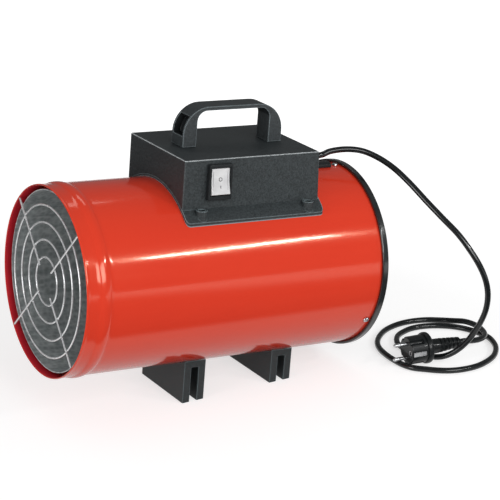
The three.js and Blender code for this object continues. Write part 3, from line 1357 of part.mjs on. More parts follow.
// In the plug's own frame the pins point to +X and its face is at 0.
function plugBody(group) {
  const collarBack = -PLUG_BODY_LENGTH - PLUG_COLLAR_LENGTH;
  const neckEnd = collarBack - PLUG_NECK_LENGTH;
  const tail = [[collarBack, PLUG_TAIL_RADIUS], [neckEnd, PLUG_TAIL_RADIUS]];
  const ribPitch = (PLUG_LENGTH + neckEnd) / (PLUG_RIBS + 0.5);
  for (let i = 0; i < PLUG_RIBS; i += 1) {
    const share = i / PLUG_RIBS;
    const radius = PLUG_TAIL_RADIUS + (PLUG_TIP_RADIUS - PLUG_TAIL_RADIUS) * share;
    const start = neckEnd - (i + 0.25) * ribPitch;
    const groove = radius - PLUG_RIB_DEPTH;
    tail.push([start, groove], [start - ribPitch * 0.3, groove], [start - ribPitch * 0.45, radius]);
  }
  const profile = [
    [0, 0],
    [0, PLUG_RADIUS - PLUG_EDGE],
    [-PLUG_EDGE, PLUG_RADIUS],
    [-PLUG_BODY_LENGTH, PLUG_RADIUS],
    [-PLUG_BODY_LENGTH - PLUG_COLLAR_SLOPE, PLUG_COLLAR_RADIUS],
    [collarBack + PLUG_COLLAR_SLOPE, PLUG_COLLAR_RADIUS],
    ...tail,
    [-PLUG_LENGTH, PLUG_TIP_RADIUS],
    [-PLUG_LENGTH, 0],
  ];
  const pinHole = rodX(PIN_RADIUS + CLEARANCE, -PIN_ROOT - PIN_ROOT_GAP, 5, 14);
  const pinHoles = [1, -1].map((side) => placed(pinHole, [0, 0, (side * PIN_SPACING) / 2]));
  const earthRadius = EARTH_BORE + EARTH_WALL + CLEARANCE;
  const earthHole = rodX(earthRadius, -EARTH_DEPTH - 1, 5, 14, EARTH_OFFSET);
  const grooves = [1, -1].map((side) => block(
    2 * (PLUG_BODY_LENGTH - GROOVE_INSET), GROOVE_WIDTH, 2 * GROOVE_DEPTH, [0, 0, side * PLUG_RADIUS],
  ));
  const clipSlots = [1, -1].map((side) => block(
    2 * (PLUG_BODY_LENGTH - EARTH_SLOT_END), 10, EARTH_CLIP_WIDTH + 2 * CLEARANCE,
    [0, side * (PLUG_RADIUS - EARTH_SLOT_DEPTH + 5), 0],
  ));
  const solid = cut(turned(profile, 24), ...pinHoles, earthHole, ...grooves, ...clipSlots);
  addPiece('plug_body', solid, 'plugRubber', group);
}

function plugMetal(group) {
  ['plug_pin_upper', 'plug_pin_lower'].forEach((name, i) => {
    const pin = turned([
      [-PIN_ROOT, 0],
      [-PIN_ROOT, PIN_RADIUS],
      [PIN_LENGTH - PIN_TIP_LENGTH, PIN_RADIUS],
      [PIN_LENGTH, PIN_TIP_RADIUS],
      [PIN_LENGTH, 0],
    ], 14);
    const mesh = addPiece(name, pin, 'nickel', group);
    mesh.position.z = (i ? -1 : 1) * (PIN_SPACING / 2);
  });
  const sleeve = EARTH_BORE + EARTH_WALL;
  const socket = turnedRing([
    [-EARTH_DEPTH, EARTH_BORE],
    [-EARTH_DEPTH, sleeve],
    [0, sleeve],
    [0, EARTH_BORE],
  ], 14);
  addPiece('plug_earth_socket', socket, 'nickel', group).position.y = EARTH_OFFSET;
  const clipBack = EARTH_SLOT_END - PLUG_BODY_LENGTH + CLEARANCE;
  const clipFront = -1.3;
  const clipSeat = PLUG_RADIUS - EARTH_SLOT_DEPTH + CLEARANCE;
  ['plug_earth_clip_near', 'plug_earth_clip_far'].forEach((name, i) => {
    const side = i ? -1 : 1;
    const clip = block(clipFront - clipBack, EARTH_CLIP_THICKNESS, EARTH_CLIP_WIDTH, [
      (clipFront + clipBack) / 2, side * (clipSeat + EARTH_CLIP_THICKNESS / 2), 0,
    ]);
    addPiece(name, clip, 'nickel', group);
  });
}

// A stretch of a longer curve between two shares of its length.
class Stretch extends THREE.Curve {
  constructor(whole, from, to) {
    super();
    this.whole = whole;
    this.from = from;
    this.to = to;
  }

  getPoint(share, target = new THREE.Vector3()) {
    return this.whole.getPointAt(this.from + (this.to - this.from) * share, target);
  }
}

// Least free gap between parts of a round tube that are far apart along it.
function leastOwnGap(curve, diameter, reach) {
  const count = 400;
  const points = curve.getSpacedPoints(count);
  const apart = Math.ceil((reach / curve.getLength()) * count);
  let least = Infinity;
  for (let i = 0; i < points.length; i += 1) {
    for (let j = i + apart; j < points.length; j += 1) {
      least = Math.min(least, points[i].distanceTo(points[j]));
    }
  }
  return least - diameter;
}

function cord([sleeveEnd, sleeveAhead], plug) {
  plug.updateMatrixWorld(true);
  const plugEnd = new THREE.Vector3(-PLUG_LENGTH - CLEARANCE, 0, 0).applyMatrix4(plug.matrixWorld);
  const plugBehind = new THREE.Vector3(-PLUG_LENGTH - CORD_DIAMETER, 0, 0).applyMatrix4(plug.matrixWorld);
  const route = new THREE.CatmullRomCurve3([
    sleeveEnd,
    sleeveAhead,
    ...CORD_FALL.map((point) => new THREE.Vector3(...point)),
    ...CORD_LOOPS.map((point) => new THREE.Vector3(...point)),
    plugBehind,
    plugEnd,
  ], false, 'centripetal');
  route.arcLengthDivisions = 2000;
  const length = route.getLength();
  const meeting = nearestShare(route, new THREE.Vector3(...CORD_LOOPS[0]));
  const halfGap = CLEARANCE / 2 / length;
  const fall = new Stretch(route, 0, meeting - halfGap);
  const loops = new Stretch(route, meeting + halfGap, 1);
  addPiece('cord_fall', tubeAlong(fall, CORD_DIAMETER / 2, CORD_SIDES, 30), 'cordRubber', heaterGroup);
  addPiece('cord_loops', tubeAlong(loops, CORD_DIAMETER / 2, LOOP_SIDES, 54), 'cordRubber', heaterGroup);
  console.log(`cord length ${length.toFixed(1)} mm`);
  console.log(`cord least gap to itself ${leastOwnGap(route, CORD_DIAMETER, 60).toFixed(2)} mm`);
}

function nearestShare(curve, target) {
  const count = 4000;
  let best = 0;
  let least = Infinity;
  for (let i = 0; i <= count; i += 1) {
    const distance = curve.getPointAt(i / count).distanceTo(target);
    if (distance < least) {
      least = distance;
      best = i / count;
    }
  }
  return best;
}

// ---------------------------------------------------------------- build

casingTube();
innerTube();
outletGrille();
rearGuard();
rearTrim();
fanImpeller();
motorShaft();
motorBody();
motorBracket();
burnerCone();
burnerSpider();
gasPipe(gasNozzle());
const electrodeEnd = probe('spark_electrode', 1, SPARK_TIP_RADIUS, 'ceramic');
const sensorEnd = probe('flame_sensor', -1, SENSOR_TIP_RADIUS, 'zinc');
controlBox();
handle();
switchHousing();
rocker();
pushButton('valve', VALVE_BUTTON_X, VALVE_BUTTON_RADIUS, 'redButton');
pushButton('igniter', IGNITER_BUTTON_X, IGNITER_BUTTON_RADIUS, 'darkPlastic');
gasValve();
gasInlet();
boxInside();
ignitionLead(electrodeEnd);
sensorLead(sensorEnd);
motorLead();
supplyLead();
switchLead();
wireCover();
foot('front_foot', FRONT_FOOT_X);
foot('rear_foot', REAR_FOOT_X);
screws();
const sleeveEnds = cableEntry();
const plug = plugGroup();
plugBody(plug);
plugMetal(plug);
cord(sleeveEnds, plug);

export default heaterGroup;
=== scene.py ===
import json
import math
import bpy
import bmesh
from mathutils import Matrix, Vector


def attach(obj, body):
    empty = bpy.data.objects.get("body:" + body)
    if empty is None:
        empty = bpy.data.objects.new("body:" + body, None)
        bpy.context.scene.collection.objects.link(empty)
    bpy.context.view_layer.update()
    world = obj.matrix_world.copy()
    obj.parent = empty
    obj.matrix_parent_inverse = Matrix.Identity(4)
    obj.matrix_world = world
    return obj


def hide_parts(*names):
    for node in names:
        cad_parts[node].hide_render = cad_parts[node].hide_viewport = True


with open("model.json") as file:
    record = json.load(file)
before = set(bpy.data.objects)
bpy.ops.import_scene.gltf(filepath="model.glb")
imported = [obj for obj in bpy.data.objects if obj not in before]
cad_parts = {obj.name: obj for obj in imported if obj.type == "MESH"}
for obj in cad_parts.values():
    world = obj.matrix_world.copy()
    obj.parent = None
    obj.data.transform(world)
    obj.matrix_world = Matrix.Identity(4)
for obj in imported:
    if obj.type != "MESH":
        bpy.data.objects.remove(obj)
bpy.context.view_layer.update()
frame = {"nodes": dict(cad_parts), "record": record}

# A portable gas-fired forced air heater. Pieces are drawn in millimetres in the tube's own frame,
# where +X runs along the axis from the outlet to the rear, and are then placed in metres.

# ---------------------------------------------------------------- places from the frame

JOINTS = {joint["name"]: joint for joint in frame["record"]["behaviour"]["joints"]}
AXIS = Vector(JOINTS["fan_spin"]["axis"]).normalized()
FAN_X = 312
TILT = math.asin(-AXIS.z)
MM = 0.001
SMALLER = Matrix.Scale(MM, 4)
TUBE_START = Vector(JOINTS["fan_spin"]["pos_m"]) - AXIS * FAN_X * MM
TUBE = Matrix.Translation(TUBE_START) @ Matrix.Rotation(TILT, 4, "Y") @ SMALLER


def extent(node):
    """The lowest and highest corners of a CAD node in the tube's frame, in millimetres."""
    inward = TUBE.inverted()
    corners = [inward @ vertex.co for vertex in frame["nodes"][node].data.vertices]
    low = Vector(min(corner[i] for corner in corners) for i in range(3))
    high = Vector(max(corner[i] for corner in corners) for i in range(3))
    return low, high


CASING_HIGH = extent("casing_tube")[1]
INNER_LOW, INNER_HIGH = extent("inner_tube")
TRIM_HIGH = extent("rear_edge_trim")[1]
BOX_TOP = extent("control_box")[1].z
HANDLE_LOW, HANDLE_HIGH = extent("carrying_handle")
SWITCH_LOW, SWITCH_HIGH = extent("switch_housing")

GAP = 0.3
BEAD_PROUD = 2
CASING_RADIUS = CASING_HIGH.z - BEAD_PROUD
CASING_WALL = 1.2
CASING_LENGTH = CASING_HIGH.x
CASING_BORE = CASING_RADIUS - CASING_WALL
SEAT_RADIUS = CASING_RADIUS + GAP
ROUND = 160

# ---------------------------------------------------------------- camera and light

CAMERA_PLACE = (-1.0714, -1.956, 0.9732)
CAMERA_AIM = (0.0764, 0, 0.1597)
LENS = 139.09


def placed(name, data):
    """A new object in the scene."""
    ob = bpy.data.objects.new(name, data)
    bpy.context.scene.collection.objects.link(ob)
    return ob


def aimed(name, data, place, aim):
    ob = placed(name, data)
    ob.location = place
    ob.rotation_euler = (Vector(aim) - Vector(place)).to_track_quat("-Z", "Y").to_euler()
    return ob


def camera():
    data = bpy.data.cameras.new("camera")
    data.lens = LENS
    data.sensor_width = 36
    data.clip_end = 50
    bpy.context.scene.camera = aimed("camera", data, CAMERA_PLACE, CAMERA_AIM)


def softbox(name, place, aim, width, height, watts):
    data = bpy.data.lights.new(name, "AREA")
    data.shape = "RECTANGLE"
    data.size = width
    data.size_y = height
    data.energy = watts
    return aimed(name, data, place, aim)


camera()

# ---------------------------------------------------------------- shader arithmetic


class Number:
    """A shader socket on which Python arithmetic adds Math nodes."""

    def __init__(self, recipe, socket):
        self.recipe = recipe
        self.socket = socket

    def joined(self, operation, *values):
        inputs = dict(enumerate(values))
        return self.recipe.add("ShaderNodeMath", {"operation": operation}, inputs).out("Value")

    def __add__(self, other):
        return self.joined("ADD", self, other)

    __radd__ = __add__

    def __sub__(self, other):
        return self.joined("SUBTRACT", self, other)

    def __rsub__(self, other):
        return self.joined("SUBTRACT", other, self)

    def __mul__(self, other):
        return self.joined("MULTIPLY", self, other)

    __rmul__ = __mul__

    def within(self, low, high):
        """0 below low, 1 above high, and a straight slope between."""
        return self.recipe.add("ShaderNodeMapRange", {}, {
            "Value": self, "From Min": low, "From Max": high,
        }).out("Result")


class Made:
    """A node that was added, whose sockets are asked for by name."""

    def __init__(self, recipe, node):
        self.recipe = recipe
        self.node = node

    def out(self, name):
        return Number(self.recipe, self.node.outputs[name])


class Recipe:
    """The nodes of one material or of the world."""

    def __init__(self, tree):
        self.tree = tree
        tree.nodes.clear()

    def add(self, kind, settings=None, values=None):
        node = self.tree.nodes.new(kind)
        for name, value in (settings or {}).items():
            if name == "stops":
                self.set_stops(node.color_ramp, value)
            else:
                setattr(node, name, value)
        for name, value in (values or {}).items():
            if isinstance(value, Number):
                self.tree.links.new(value.socket, node.inputs[name])
            else:
                node.inputs[name].default_value = value
        return Made(self, node)

    def set_stops(self, ramp, stops):
        while len(ramp.elements) < len(stops):
            ramp.elements.new(0.5)
        for element, (place, color) in zip(ramp.elements, stops):
            element.position = place
            element.color = (*color, 1)

    def ramp(self, factor, *stops):
        return self.add("ShaderNodeValToRGB", {"stops": stops}, {"Fac": factor}).out("Color")

    def mixed(self, factor, first, second):
        """A colour between two colours."""
        as_color = [value if isinstance(value, Number) else (*value, 1) for value in (first, second)]
        made = self.add("ShaderNodeMix", {"data_type": "RGBA"}, {0: factor, 6: as_color[0], 7: as_color[1]})
        return Number(self, made.node.outputs[2])


class Finish(Recipe):
    """A material with one Principled shader and a choice of patterns on Object coordinates."""

    def __init__(self, name, color, roughness, metallic=0, coat=0, coat_roughness=0.05):
        self.material = bpy.data.materials.new(name)
        self.material.use_nodes = True
        super().__init__(self.material.node_tree)
        self.shader = self.add("ShaderNodeBsdfPrincipled", {}, {
            "Base Color": (*color, 1), "Roughness": roughness, "Metallic": metallic,
            "Coat Weight": coat, "Coat Roughness": coat_roughness, "IOR": 1.5,
        })
        self.add("ShaderNodeOutputMaterial", {}, {"Surface": self.shader.out("BSDF")})
        self.material.diffuse_color = (*color, 1)

    def feed(self, **values):
        for name, value in values.items():
            self.tree.links.new(value.socket, self.shader.node.inputs[name.replace("_", " ")])

    def place(self, stretch=(1, 1, 1), along_tube=False):
        """Object coordinates, scaled, and turned to lie along the tube where asked."""
        coordinates = self.add("ShaderNodeTexCoord").out("Object")
        turn = (0, -TILT, 0) if along_tube else (0, 0, 0)
        straight = self.add("ShaderNodeMapping", {"vector_type": "POINT"}, {
            "Vector": coordinates, "Rotation": turn,
        }).out("Vector")
        return self.add("ShaderNodeMapping", {"vector_type": "POINT"}, {
            "Vector": straight, "Scale": stretch,
        }).out("Vector")

    def noise(self, scale, detail=3, roughness=0.5, stretch=(1, 1, 1), along_tube=False):
        return self.add("ShaderNodeTexNoise", {}, {
            "Vector": self.place(stretch, along_tube), "Scale": scale, "Detail": detail,
            "Roughness": roughness,
        }).out("Fac")

    def cells(self, scale):
        return self.add("ShaderNodeTexVoronoi", {"feature": "F1"}, {
            "Vector": self.place(), "Scale": scale, "Randomness": 1,
        }).out("Distance")

    def painted_edge_highlight(self, reach):
        """1 along outside edges, from how far a rounded normal leans off the true one: the mask of a painted
        highlight.
        """
        soft = self.add("ShaderNodeBevel", {"samples": 6}, {"Radius": reach}).out("Normal")
        surface = self.add("ShaderNodeNewGeometry")
        lean = self.add("ShaderNodeVectorMath", {"operation": "DOT_PRODUCT"}, {
            0: soft, 1: surface.out("Normal"),
        }).out("Value")
        return (1 - lean).within(0.01, 0.1) * surface.out("Pointiness").within(0.47, 0.5)

    def bump(self, height, strength, distance):
        made = self.add("ShaderNodeBump", {}, {"Strength": strength, "Distance": distance, "Height": height})
        self.feed(Normal=made.out("Normal"))


# ---------------------------------------------------------------- finishes


def plain(name, color, roughness, pattern, shades, rough, raised=None, specular=0.5, **shine):
    """One noise varies the colour between two shades, and the roughness, and may raise the surface."""
    finish = Finish(name, color, roughness, **shine)
    finish.shader.node.inputs["Specular IOR Level"].default_value = specular
    spots = finish.noise(**pattern)
    finish.feed(Base_Color=finish.mixed(spots, *shades))
    finish.feed(Roughness=rough[0] + spots * rough[1])
    if raised:
        finish.bump(spots, *raised)
    return finish.material


def red_paint():
    finish = Finish("red_paint", (0.7, 0.044, 0.02), 0.14, coat=0.3, coat_roughness=0.04)
    finish.shader.node.inputs["Specular Tint"].default_value = (1, 0.74, 0.5, 1)
    cloud = finish.noise(5, detail=2)
    haze = finish.noise(60, detail=4, stretch=(0.12, 1, 1), along_tube=True)
    finish.feed(Base_Color=finish.mixed(cloud * 0.7 + haze * 0.3, (0.67, 0.038, 0.018), (0.75, 0.052, 0.021)))
    finish.feed(Roughness=0.07 + haze * 0.12)
    peel = finish.noise(420, detail=1)
    finish.bump(peel, 0.22, 0.0002)
    return finish.material


def galvanised_sheet():
    finish = Finish("galvanised_sheet", (0.4, 0.44, 0.445), 0.42, metallic=0.3)
    streak = finish.noise(190, detail=5, roughness=0.65, stretch=(0.07, 1, 1), along_tube=True)
    cloud = finish.noise(14, detail=3)
    spangle = finish.cells(170)
    shade = streak * 0.55 + cloud * 0.3 + spangle * 0.25
    finish.feed(Base_Color=finish.ramp(
        shade, (0.3, (0.22, 0.25, 0.255)), (0.5, (0.4, 0.44, 0.445)), (0.7, (0.66, 0.7, 0.7)),
    ))
    finish.feed(Roughness=0.32 + streak * 0.28)
    finish.bump(streak, 0.25, 0.0002)
    return finish.material


def zinc_wire():
    finish = Finish("zinc_wire", (0.85, 0.86, 0.87), 0.2, metallic=0.5)
    spots = finish.noise(220, detail=4)
    finish.feed(Base_Color=finish.ramp(
        spots, (0.3, (0.62, 0.63, 0.64)), (0.5, (0.88, 0.89, 0.9)), (0.7, (0.96, 0.96, 0.96)),
    ))
    finish.feed(Roughness=0.14 + spots * 0.2)
    finish.bump(spots, 0.15, 0.0002)
    return finish.material


def edge_rubber():
    finish = Finish("edge_rubber", (0.012, 0.014, 0.015), 0.2, coat=0.6, coat_roughness=0.06)
    dust = finish.noise(45, detail=5, roughness=0.65)
    finish.feed(Base_Color=finish.mixed(dust.within(0.4, 0.8), (0.009, 0.011, 0.012), (0.028, 0.031, 0.033)))
    finish.feed(Roughness=0.14 + dust * 0.16)
    finish.bump(finish.noise(600, detail=2), 0.1, 0.0002)
    return finish.material


def grained_plastic(name, dark, light, grain, depth):
    """Moulded plastic with a spark-eroded grain, and a painted highlight along its outside edges."""
    finish = Finish(name, dark, 0.5)
    pebble = finish.cells(grain)
    speck = finish.noise(grain * 0.6, detail=4, roughness=0.7)
    cloud = finish.noise(9, detail=3)
    body = finish.mixed(speck.within(0.36, 0.64) * 0.8 + cloud * 0.2, dark, light)
    # painted highlight: outside edges shift towards six times the light shade, standing in for light caught
    # on them
    edge_highlight = finish.painted_edge_highlight(0.0019)
    finish.feed(Base_Color=finish.mixed(edge_highlight * 0.85, body, tuple(6 * channel for channel in light)))
    finish.feed(Roughness=0.44 + speck * 0.22 - edge_highlight * 0.08)
    finish.bump(pebble * 0.6 + speck * 0.4, depth, 0.0004)
    return finish.material


def smooth_black():
    finish = Finish("smooth_black_plastic", (0.012, 0.014, 0.015), 0.34)
    finish.shader.node.inputs["Specular IOR Level"].default_value = 0.2
    wipe = finish.noise(70, detail=4)
    finish.feed(Base_Color=finish.mixed(wipe, (0.008, 0.01, 0.011), (0.024, 0.027, 0.029)))
    finish.feed(Roughness=0.26 + wipe * 0.2)
    finish.bump(finish.noise(900, detail=2), 0.12, 0.0001)
    return finish.material


def mark_grey():
    finish = Finish("mark_grey", (0.06, 0.06, 0.065), 0.4)
    edge = finish.noise(2500, detail=2)
    finish.feed(Base_Color=finish.mixed(edge, (0.035, 0.035, 0.04), (0.1, 0.1, 0.105)))
    return finish.material


def turned_brass():
    finish = Finish("turned_brass", (0.52, 0.34, 0.1), 0.3, metallic=1)
    rings = finish.noise(500, detail=2, stretch=(1, 0.1, 0.1), along_tube=True)
    stain = finish.noise(50, detail=4)
    finish.feed(Base_Color=finish.mixed(stain, (0.36, 0.22, 0.06), (0.66, 0.46, 0.16)))
    finish.feed(Roughness=0.2 + rings * 0.2)
    finish.bump(rings, 0.2, 0.0001)
    return finish.material


def heat_toned_steel():
    finish = Finish("heat_toned_steel", (0.3, 0.3, 0.29), 0.42, metallic=0.5)
    bands = finish.noise(28, detail=4, stretch=(2, 0.6, 0.6), along_tube=True)
    finish.feed(Base_Color=finish.ramp(
        bands, (0.3, (0.2, 0.21, 0.21)), (0.48, (0.34, 0.33, 0.3)), (0.6, (0.26, 0.26, 0.28)),
        (0.75, (0.4, 0.41, 0.41)),
    ))
    finish.feed(Roughness=0.34 + bands * 0.2)
    return finish.material


def black_sheath(name, roughness, coat):
    """Extruded rubber, faintly mottled, with a soft shine."""
    finish = Finish(name, (0.008, 0.009, 0.01), roughness, coat=coat, coat_roughness=0.06)
    finish.shader.node.inputs["Specular IOR Level"].default_value = 0.25
    flow = finish.noise(130, detail=4, roughness=0.6)
    finish.feed(Base_Color=finish.mixed(flow, (0.003, 0.004, 0.0045), (0.013, 0.016, 0.017)))
    finish.feed(Roughness=roughness - 0.06 + flow * 0.14)
    finish.bump(finish.noise(900, detail=2), 0.12, 0.0002)
    return finish.material


RED = red_paint()
# the casing's inside carries the same red paint; this darker red is painted shade where little light reaches
INSIDE_SHADE_RED = plain(
    "inside_painted_shade", (0.35, 0.012, 0.02), 0.7, {"scale": 26, "detail": 4, "roughness": 0.6},
    ((0.4, 0.01, 0.022), (0.76, 0.026, 0.042)), (0.5, 0.25), raised=(0.2, 0.0002), specular=0.15,
)
GALVANISED = galvanised_sheet()
WIRE = zinc_wire()
COATED_WIRE = plain(
    "black_coated_wire", (0.012, 0.013, 0.014), 0.38, {"scale": 300},
    ((0.008, 0.009, 0.01), (0.024, 0.026, 0.028)), (0.3, 0.2), raised=(0.2, 0.0002),
)
EDGE = edge_rubber()
BOX_PLASTIC = grained_plastic("box_plastic", (0.006, 0.009, 0.01), (0.046, 0.058, 0.062), 900, 0.6)
# a pale plastic for the box's top-edge bevels: a painted highlight
EDGE_HIGHLIGHT_PLASTIC = grained_plastic("edge_highlight_plastic", (0.1, 0.11, 0.115), (0.36, 0.38, 0.39), 900, 0.2)
HANDLE_PLASTIC = grained_plastic("handle_plastic", (0.012, 0.015, 0.017), (0.05, 0.06, 0.064), 900, 0.3)
FOOT_PLASTIC = grained_plastic("foot_plastic", (0.006, 0.01, 0.011), (0.02, 0.028, 0.03), 700, 0.4)
BLACK = smooth_black()
WHITE = plain(
    "rocker_white", (0.66, 0.66, 0.66), 0.16, {"scale": 90},
    ((0.56, 0.56, 0.57), (0.74, 0.74, 0.74)), (0.12, 0.12), coat=0.5,
)
MARKS = mark_grey()
BUTTON = plain(
    "button_red", (0.45, 0.012, 0.01), 0.3, {"scale": 120},
    ((0.38, 0.009, 0.008), (0.52, 0.018, 0.014)), (0.24, 0.14), coat=0.3,
)
ZINC = plain(
    "zinc_plated_steel", (0.62, 0.64, 0.66), 0.26, {"scale": 260, "detail": 4},
    ((0.48, 0.5, 0.52), (0.78, 0.79, 0.8)), (0.18, 0.22), raised=(0.15, 0.0001), metallic=1,
)
BRASS = turned_brass()
COPPER = plain(
    "bare_copper", (0.62, 0.25, 0.13), 0.3, {"scale": 60, "detail": 5},
    ((0.34, 0.12, 0.06), (0.72, 0.32, 0.18)), (0.24, 0.2), metallic=1,
)
BURNT = heat_toned_steel()
CAST = plain(
    "cast_aluminium", (0.5, 0.51, 0.52), 0.45, {"scale": 350, "detail": 4},
    ((0.38, 0.39, 0.4), (0.6, 0.61, 0.62)), (0.38, 0.2), raised=(0.3, 0.0003), metallic=1,
)
FAN_PLASTIC = grained_plastic("fan_plastic", (0.014, 0.016, 0.017), (0.03, 0.034, 0.036), 500, 0.25)
CERAMIC = plain(
    "glazed_ceramic", (0.78, 0.74, 0.66), 0.22, {"scale": 140, "detail": 4},
    ((0.66, 0.62, 0.54), (0.84, 0.81, 0.74)), (0.16, 0.16), coat=0.4,
)
LEAD = black_sheath("lead_insulation", 0.42, 0)
SHEATH = black_sheath("cord_sheath", 0.26, 0.5)
PLUG_RUBBER = black_sheath("plug_rubber", 0.34, 0.25)

# ---------------------------------------------------------------- making pieces


def as_mesh(name, bm):
    mesh = bpy.data.meshes.new(name)
    bm.to_mesh(mesh)
    bm.free()
    return mesh


def as_object(name, bm):
    return placed(name, as_mesh(name, bm))


def piece(name, bm, material, stands_for=(), body="root", place=TUBE, sharp=35):
    """A finished mesh object at its place, riding on its body."""
    bmesh.ops.transform(bm, matrix=place, verts=bm.verts)
    ob = as_object(name, bm)
    mesh = ob.data
    mesh.materials.append(material)
    mesh.polygons.foreach_set("use_smooth", [True] * len(mesh.polygons))
    mesh.set_sharp_from_angle(angle=math.radians(sharp))
    ob.modifiers.new("even_shading", "WEIGHTED_NORMAL").keep_sharp = True
    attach(ob, body)
    if stands_for:
        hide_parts(*stands_for)
    return ob


def rounded(points, radius, steps=4, closed=False):
    """A 2D line with each of its corners turned into an arc."""
    line = [Vector(point) for point in points]
    smooth = []
    for i, corner in enumerate(line):
        if not closed and i in (0, len(line) - 1):
            smooth.append(corner)
            continue
        back = line[i - 1] - corner
        ahead = line[(i + 1) % len(line)] - corner
        reach = min(radius, back.length * 0.45, ahead.length * 0.45)
        start = corner + back.normalized() * reach
        end = corner + ahead.normalized() * reach
        for step in range(steps + 1):
            share = step / steps
            smooth.append(start * (1 - share) ** 2 + corner * 2 * share * (1 - share) + end * share**2)
    return smooth


def turned(profile, steps=ROUND, ring=False):
    """A solid of revolution about the tube's X axis from (x, radius) points."""
    bm = bmesh.new()
    verts = [bm.verts.new((x, 0, radius)) for x, radius in profile]
    pairs = list(zip(verts, verts[1:])) + ([(verts[-1], verts[0])] if ring else [])
    edges = [bm.edges.new(pair) for pair in pairs]
    bmesh.ops.spin(
        bm, geom=verts + edges, cent=(0, 0, 0), axis=(1, 0, 0), angle=math.tau, steps=steps, use_merge=True,
    )
    bmesh.ops.remove_doubles(bm, verts=bm.verts, dist=1e-3)
    bmesh.ops.dissolve_degenerate(bm, edges=bm.edges, dist=1e-4)
    bmesh.ops.recalc_face_normals(bm, faces=bm.faces)
    return bm


def turned_ring(points, soft, sides, steps=4):
    """A ring about the tube's X axis from a closed profile with softened corners."""
    return turned(rounded(points, soft, steps, closed=True), sides, ring=True)


def wall(outline, depth, centre=0, axis="Y"):
    """A flat outline in XZ (or YZ for axis X), pushed out evenly on both sides of centre."""
    bm = bmesh.new()
    if axis == "Y":
        verts = [bm.verts.new((u, centre - depth / 2, v)) for u, v in outline]
        push = (0, depth, 0)
    elif axis == "X":
        verts = [bm.verts.new((centre - depth / 2, u, v)) for u, v in outline]
        push = (depth, 0, 0)
    else:
        verts = [bm.verts.new((u, v, centre - depth / 2)) for u, v in outline]
        push = (0, 0, depth)
    face = bm.faces.new(verts)
    grown = bmesh.ops.extrude_face_region(bm, geom=[face])
    moved = [item for item in grown["geom"] if isinstance(item, bmesh.types.BMVert)]
    bmesh.ops.translate(bm, verts=moved, vec=push)
    bmesh.ops.recalc_face_normals(bm, faces=bm.faces)
    return bm


def block(low, high):
    bm = bmesh.new()
    bmesh.ops.create_cube(bm, size=1)
    low, high = Vector(low), Vector(high)
    bmesh.ops.scale(bm, vec=high - low, verts=bm.verts)
    bmesh.ops.translate(bm, vec=(low + high) / 2, verts=bm.verts)
    return bm


def eased(bm, width, segments=2, least=30):
    """Bevels every edge that turns by more than an angle."""
    sharp = [edge for edge in bm.edges if edge.is_manifold and edge.calc_face_angle() > math.radians(least)]
    bmesh.ops.bevel(
        bm, geom=sharp, offset=width, offset_type="OFFSET", affect="EDGES", segments=segments,
        profile=0.5, material=-1, clamp_overlap=True,
    )
    return bm


def turn(bm, matrix):
    bmesh.ops.transform(bm, matrix=matrix, verts=bm.verts)
    return bm


def around(bm, degrees):
    """Turned about the tube's axis: 0 is up, and it grows towards the near side."""
    return turn(bm, Matrix.Rotation(math.radians(degrees), 4, "X"))


def moved(bm, x, y, z):
    return turn(bm, Matrix.Translation((x, y, z)))


def gathered(*parts):
    """Several bmeshes as one."""
    whole = bmesh.new()
    for part in parts:
        mesh = as_mesh("part", part)
        whole.from_mesh(mesh)
        bpy.data.meshes.remove(mesh)
    return whole


def carved(bm, *cutters, keep="DIFFERENCE"):
    """The shape without its cutters, or joined to them, or only what they share with it."""
    blank = as_object("blank", bm)
    tools = [as_object("cutter", cutter) for cutter in cutters]
    for tool in tools:
        cut = blank.modifiers.new("cut", "BOOLEAN")
        cut.operation = keep
        cut.solver = "EXACT"
        cut.object = tool
    bpy.context.view_layer.update()
    result = bmesh.new()
    result.from_object(blank, bpy.context.evaluated_depsgraph_get())
    for ob in [blank, *tools]:
        mesh = ob.data
        bpy.data.objects.remove(ob)
        bpy.data.meshes.remove(mesh)
    bmesh.ops.remove_doubles(result, verts=result.verts, dist=1e-3)
    bmesh.ops.dissolve_limit(
        result, angle_limit=math.radians(0.5), verts=result.verts, edges=result.edges,
    )
    return result


def rod(radius, start, end, y=0, z=0, sides=48, soft=0.3):
    """A round bar along X."""
    profile = rounded([(start, 0), (start, radius), (end, radius), (end, 0)], soft)
    return moved(turned(profile, sides), 0, y, z)


def hexagon(radius, depth, x):
    """A six-sided nut about the X axis, with its middle at x."""
    nut = bmesh.new()
    bmesh.ops.create_cone(
        nut, cap_ends=True, segments=6, radius1=radius, radius2=radius, depth=depth,
        matrix=Matrix.Translation((x, 0, 0)) @ Matrix.Rotation(math.pi / 2, 4, "Y"),
    )
    return nut


def upright(bm):
    """Turns a shape drawn along X to stand along Z."""
    return turn(bm, Matrix.Rotation(-math.pi / 2, 4, "Y"))


def outward(bm):
    """Turns a shape drawn along X to point along +Y."""
    return turn(bm, Matrix.Rotation(math.pi / 2, 4, "Z"))


def swept(path, radius, sides=14):
    """A round bar that follows a path of points."""
    points = [Vector(point) for point in path]
    bm = bmesh.new()
    rings = []
    side = None
    for i, point in enumerate(points):
        before = points[i - 1] if i else point
        after = points[i + 1] if i < len(points) - 1 else point
        ahead = (after - before).normalized()
        if side is None:
            side = ahead.orthogonal().normalized()
        side = (side - ahead * side.dot(ahead)).normalized()
        basis = Matrix((side, ahead.cross(side), ahead)).transposed().to_4x4()
        made = bmesh.ops.create_circle(
            bm, segments=sides, radius=radius, matrix=Matrix.Translation(point) @ basis,
        )
        rings.append(made["verts"])
    loops = [[edge for vert in ring for edge in vert.link_edges] for ring in rings]
    loops = [list(dict.fromkeys(loop)) for loop in loops]
    for first, second in zip(loops, loops[1:]):
        bmesh.ops.bridge_loops(bm, edges=first + second)
    bm.faces.new(rings[0])
    bm.faces.new(rings[-1])
    bmesh.ops.recalc_face_normals(bm, faces=bm.faces)
    return bm


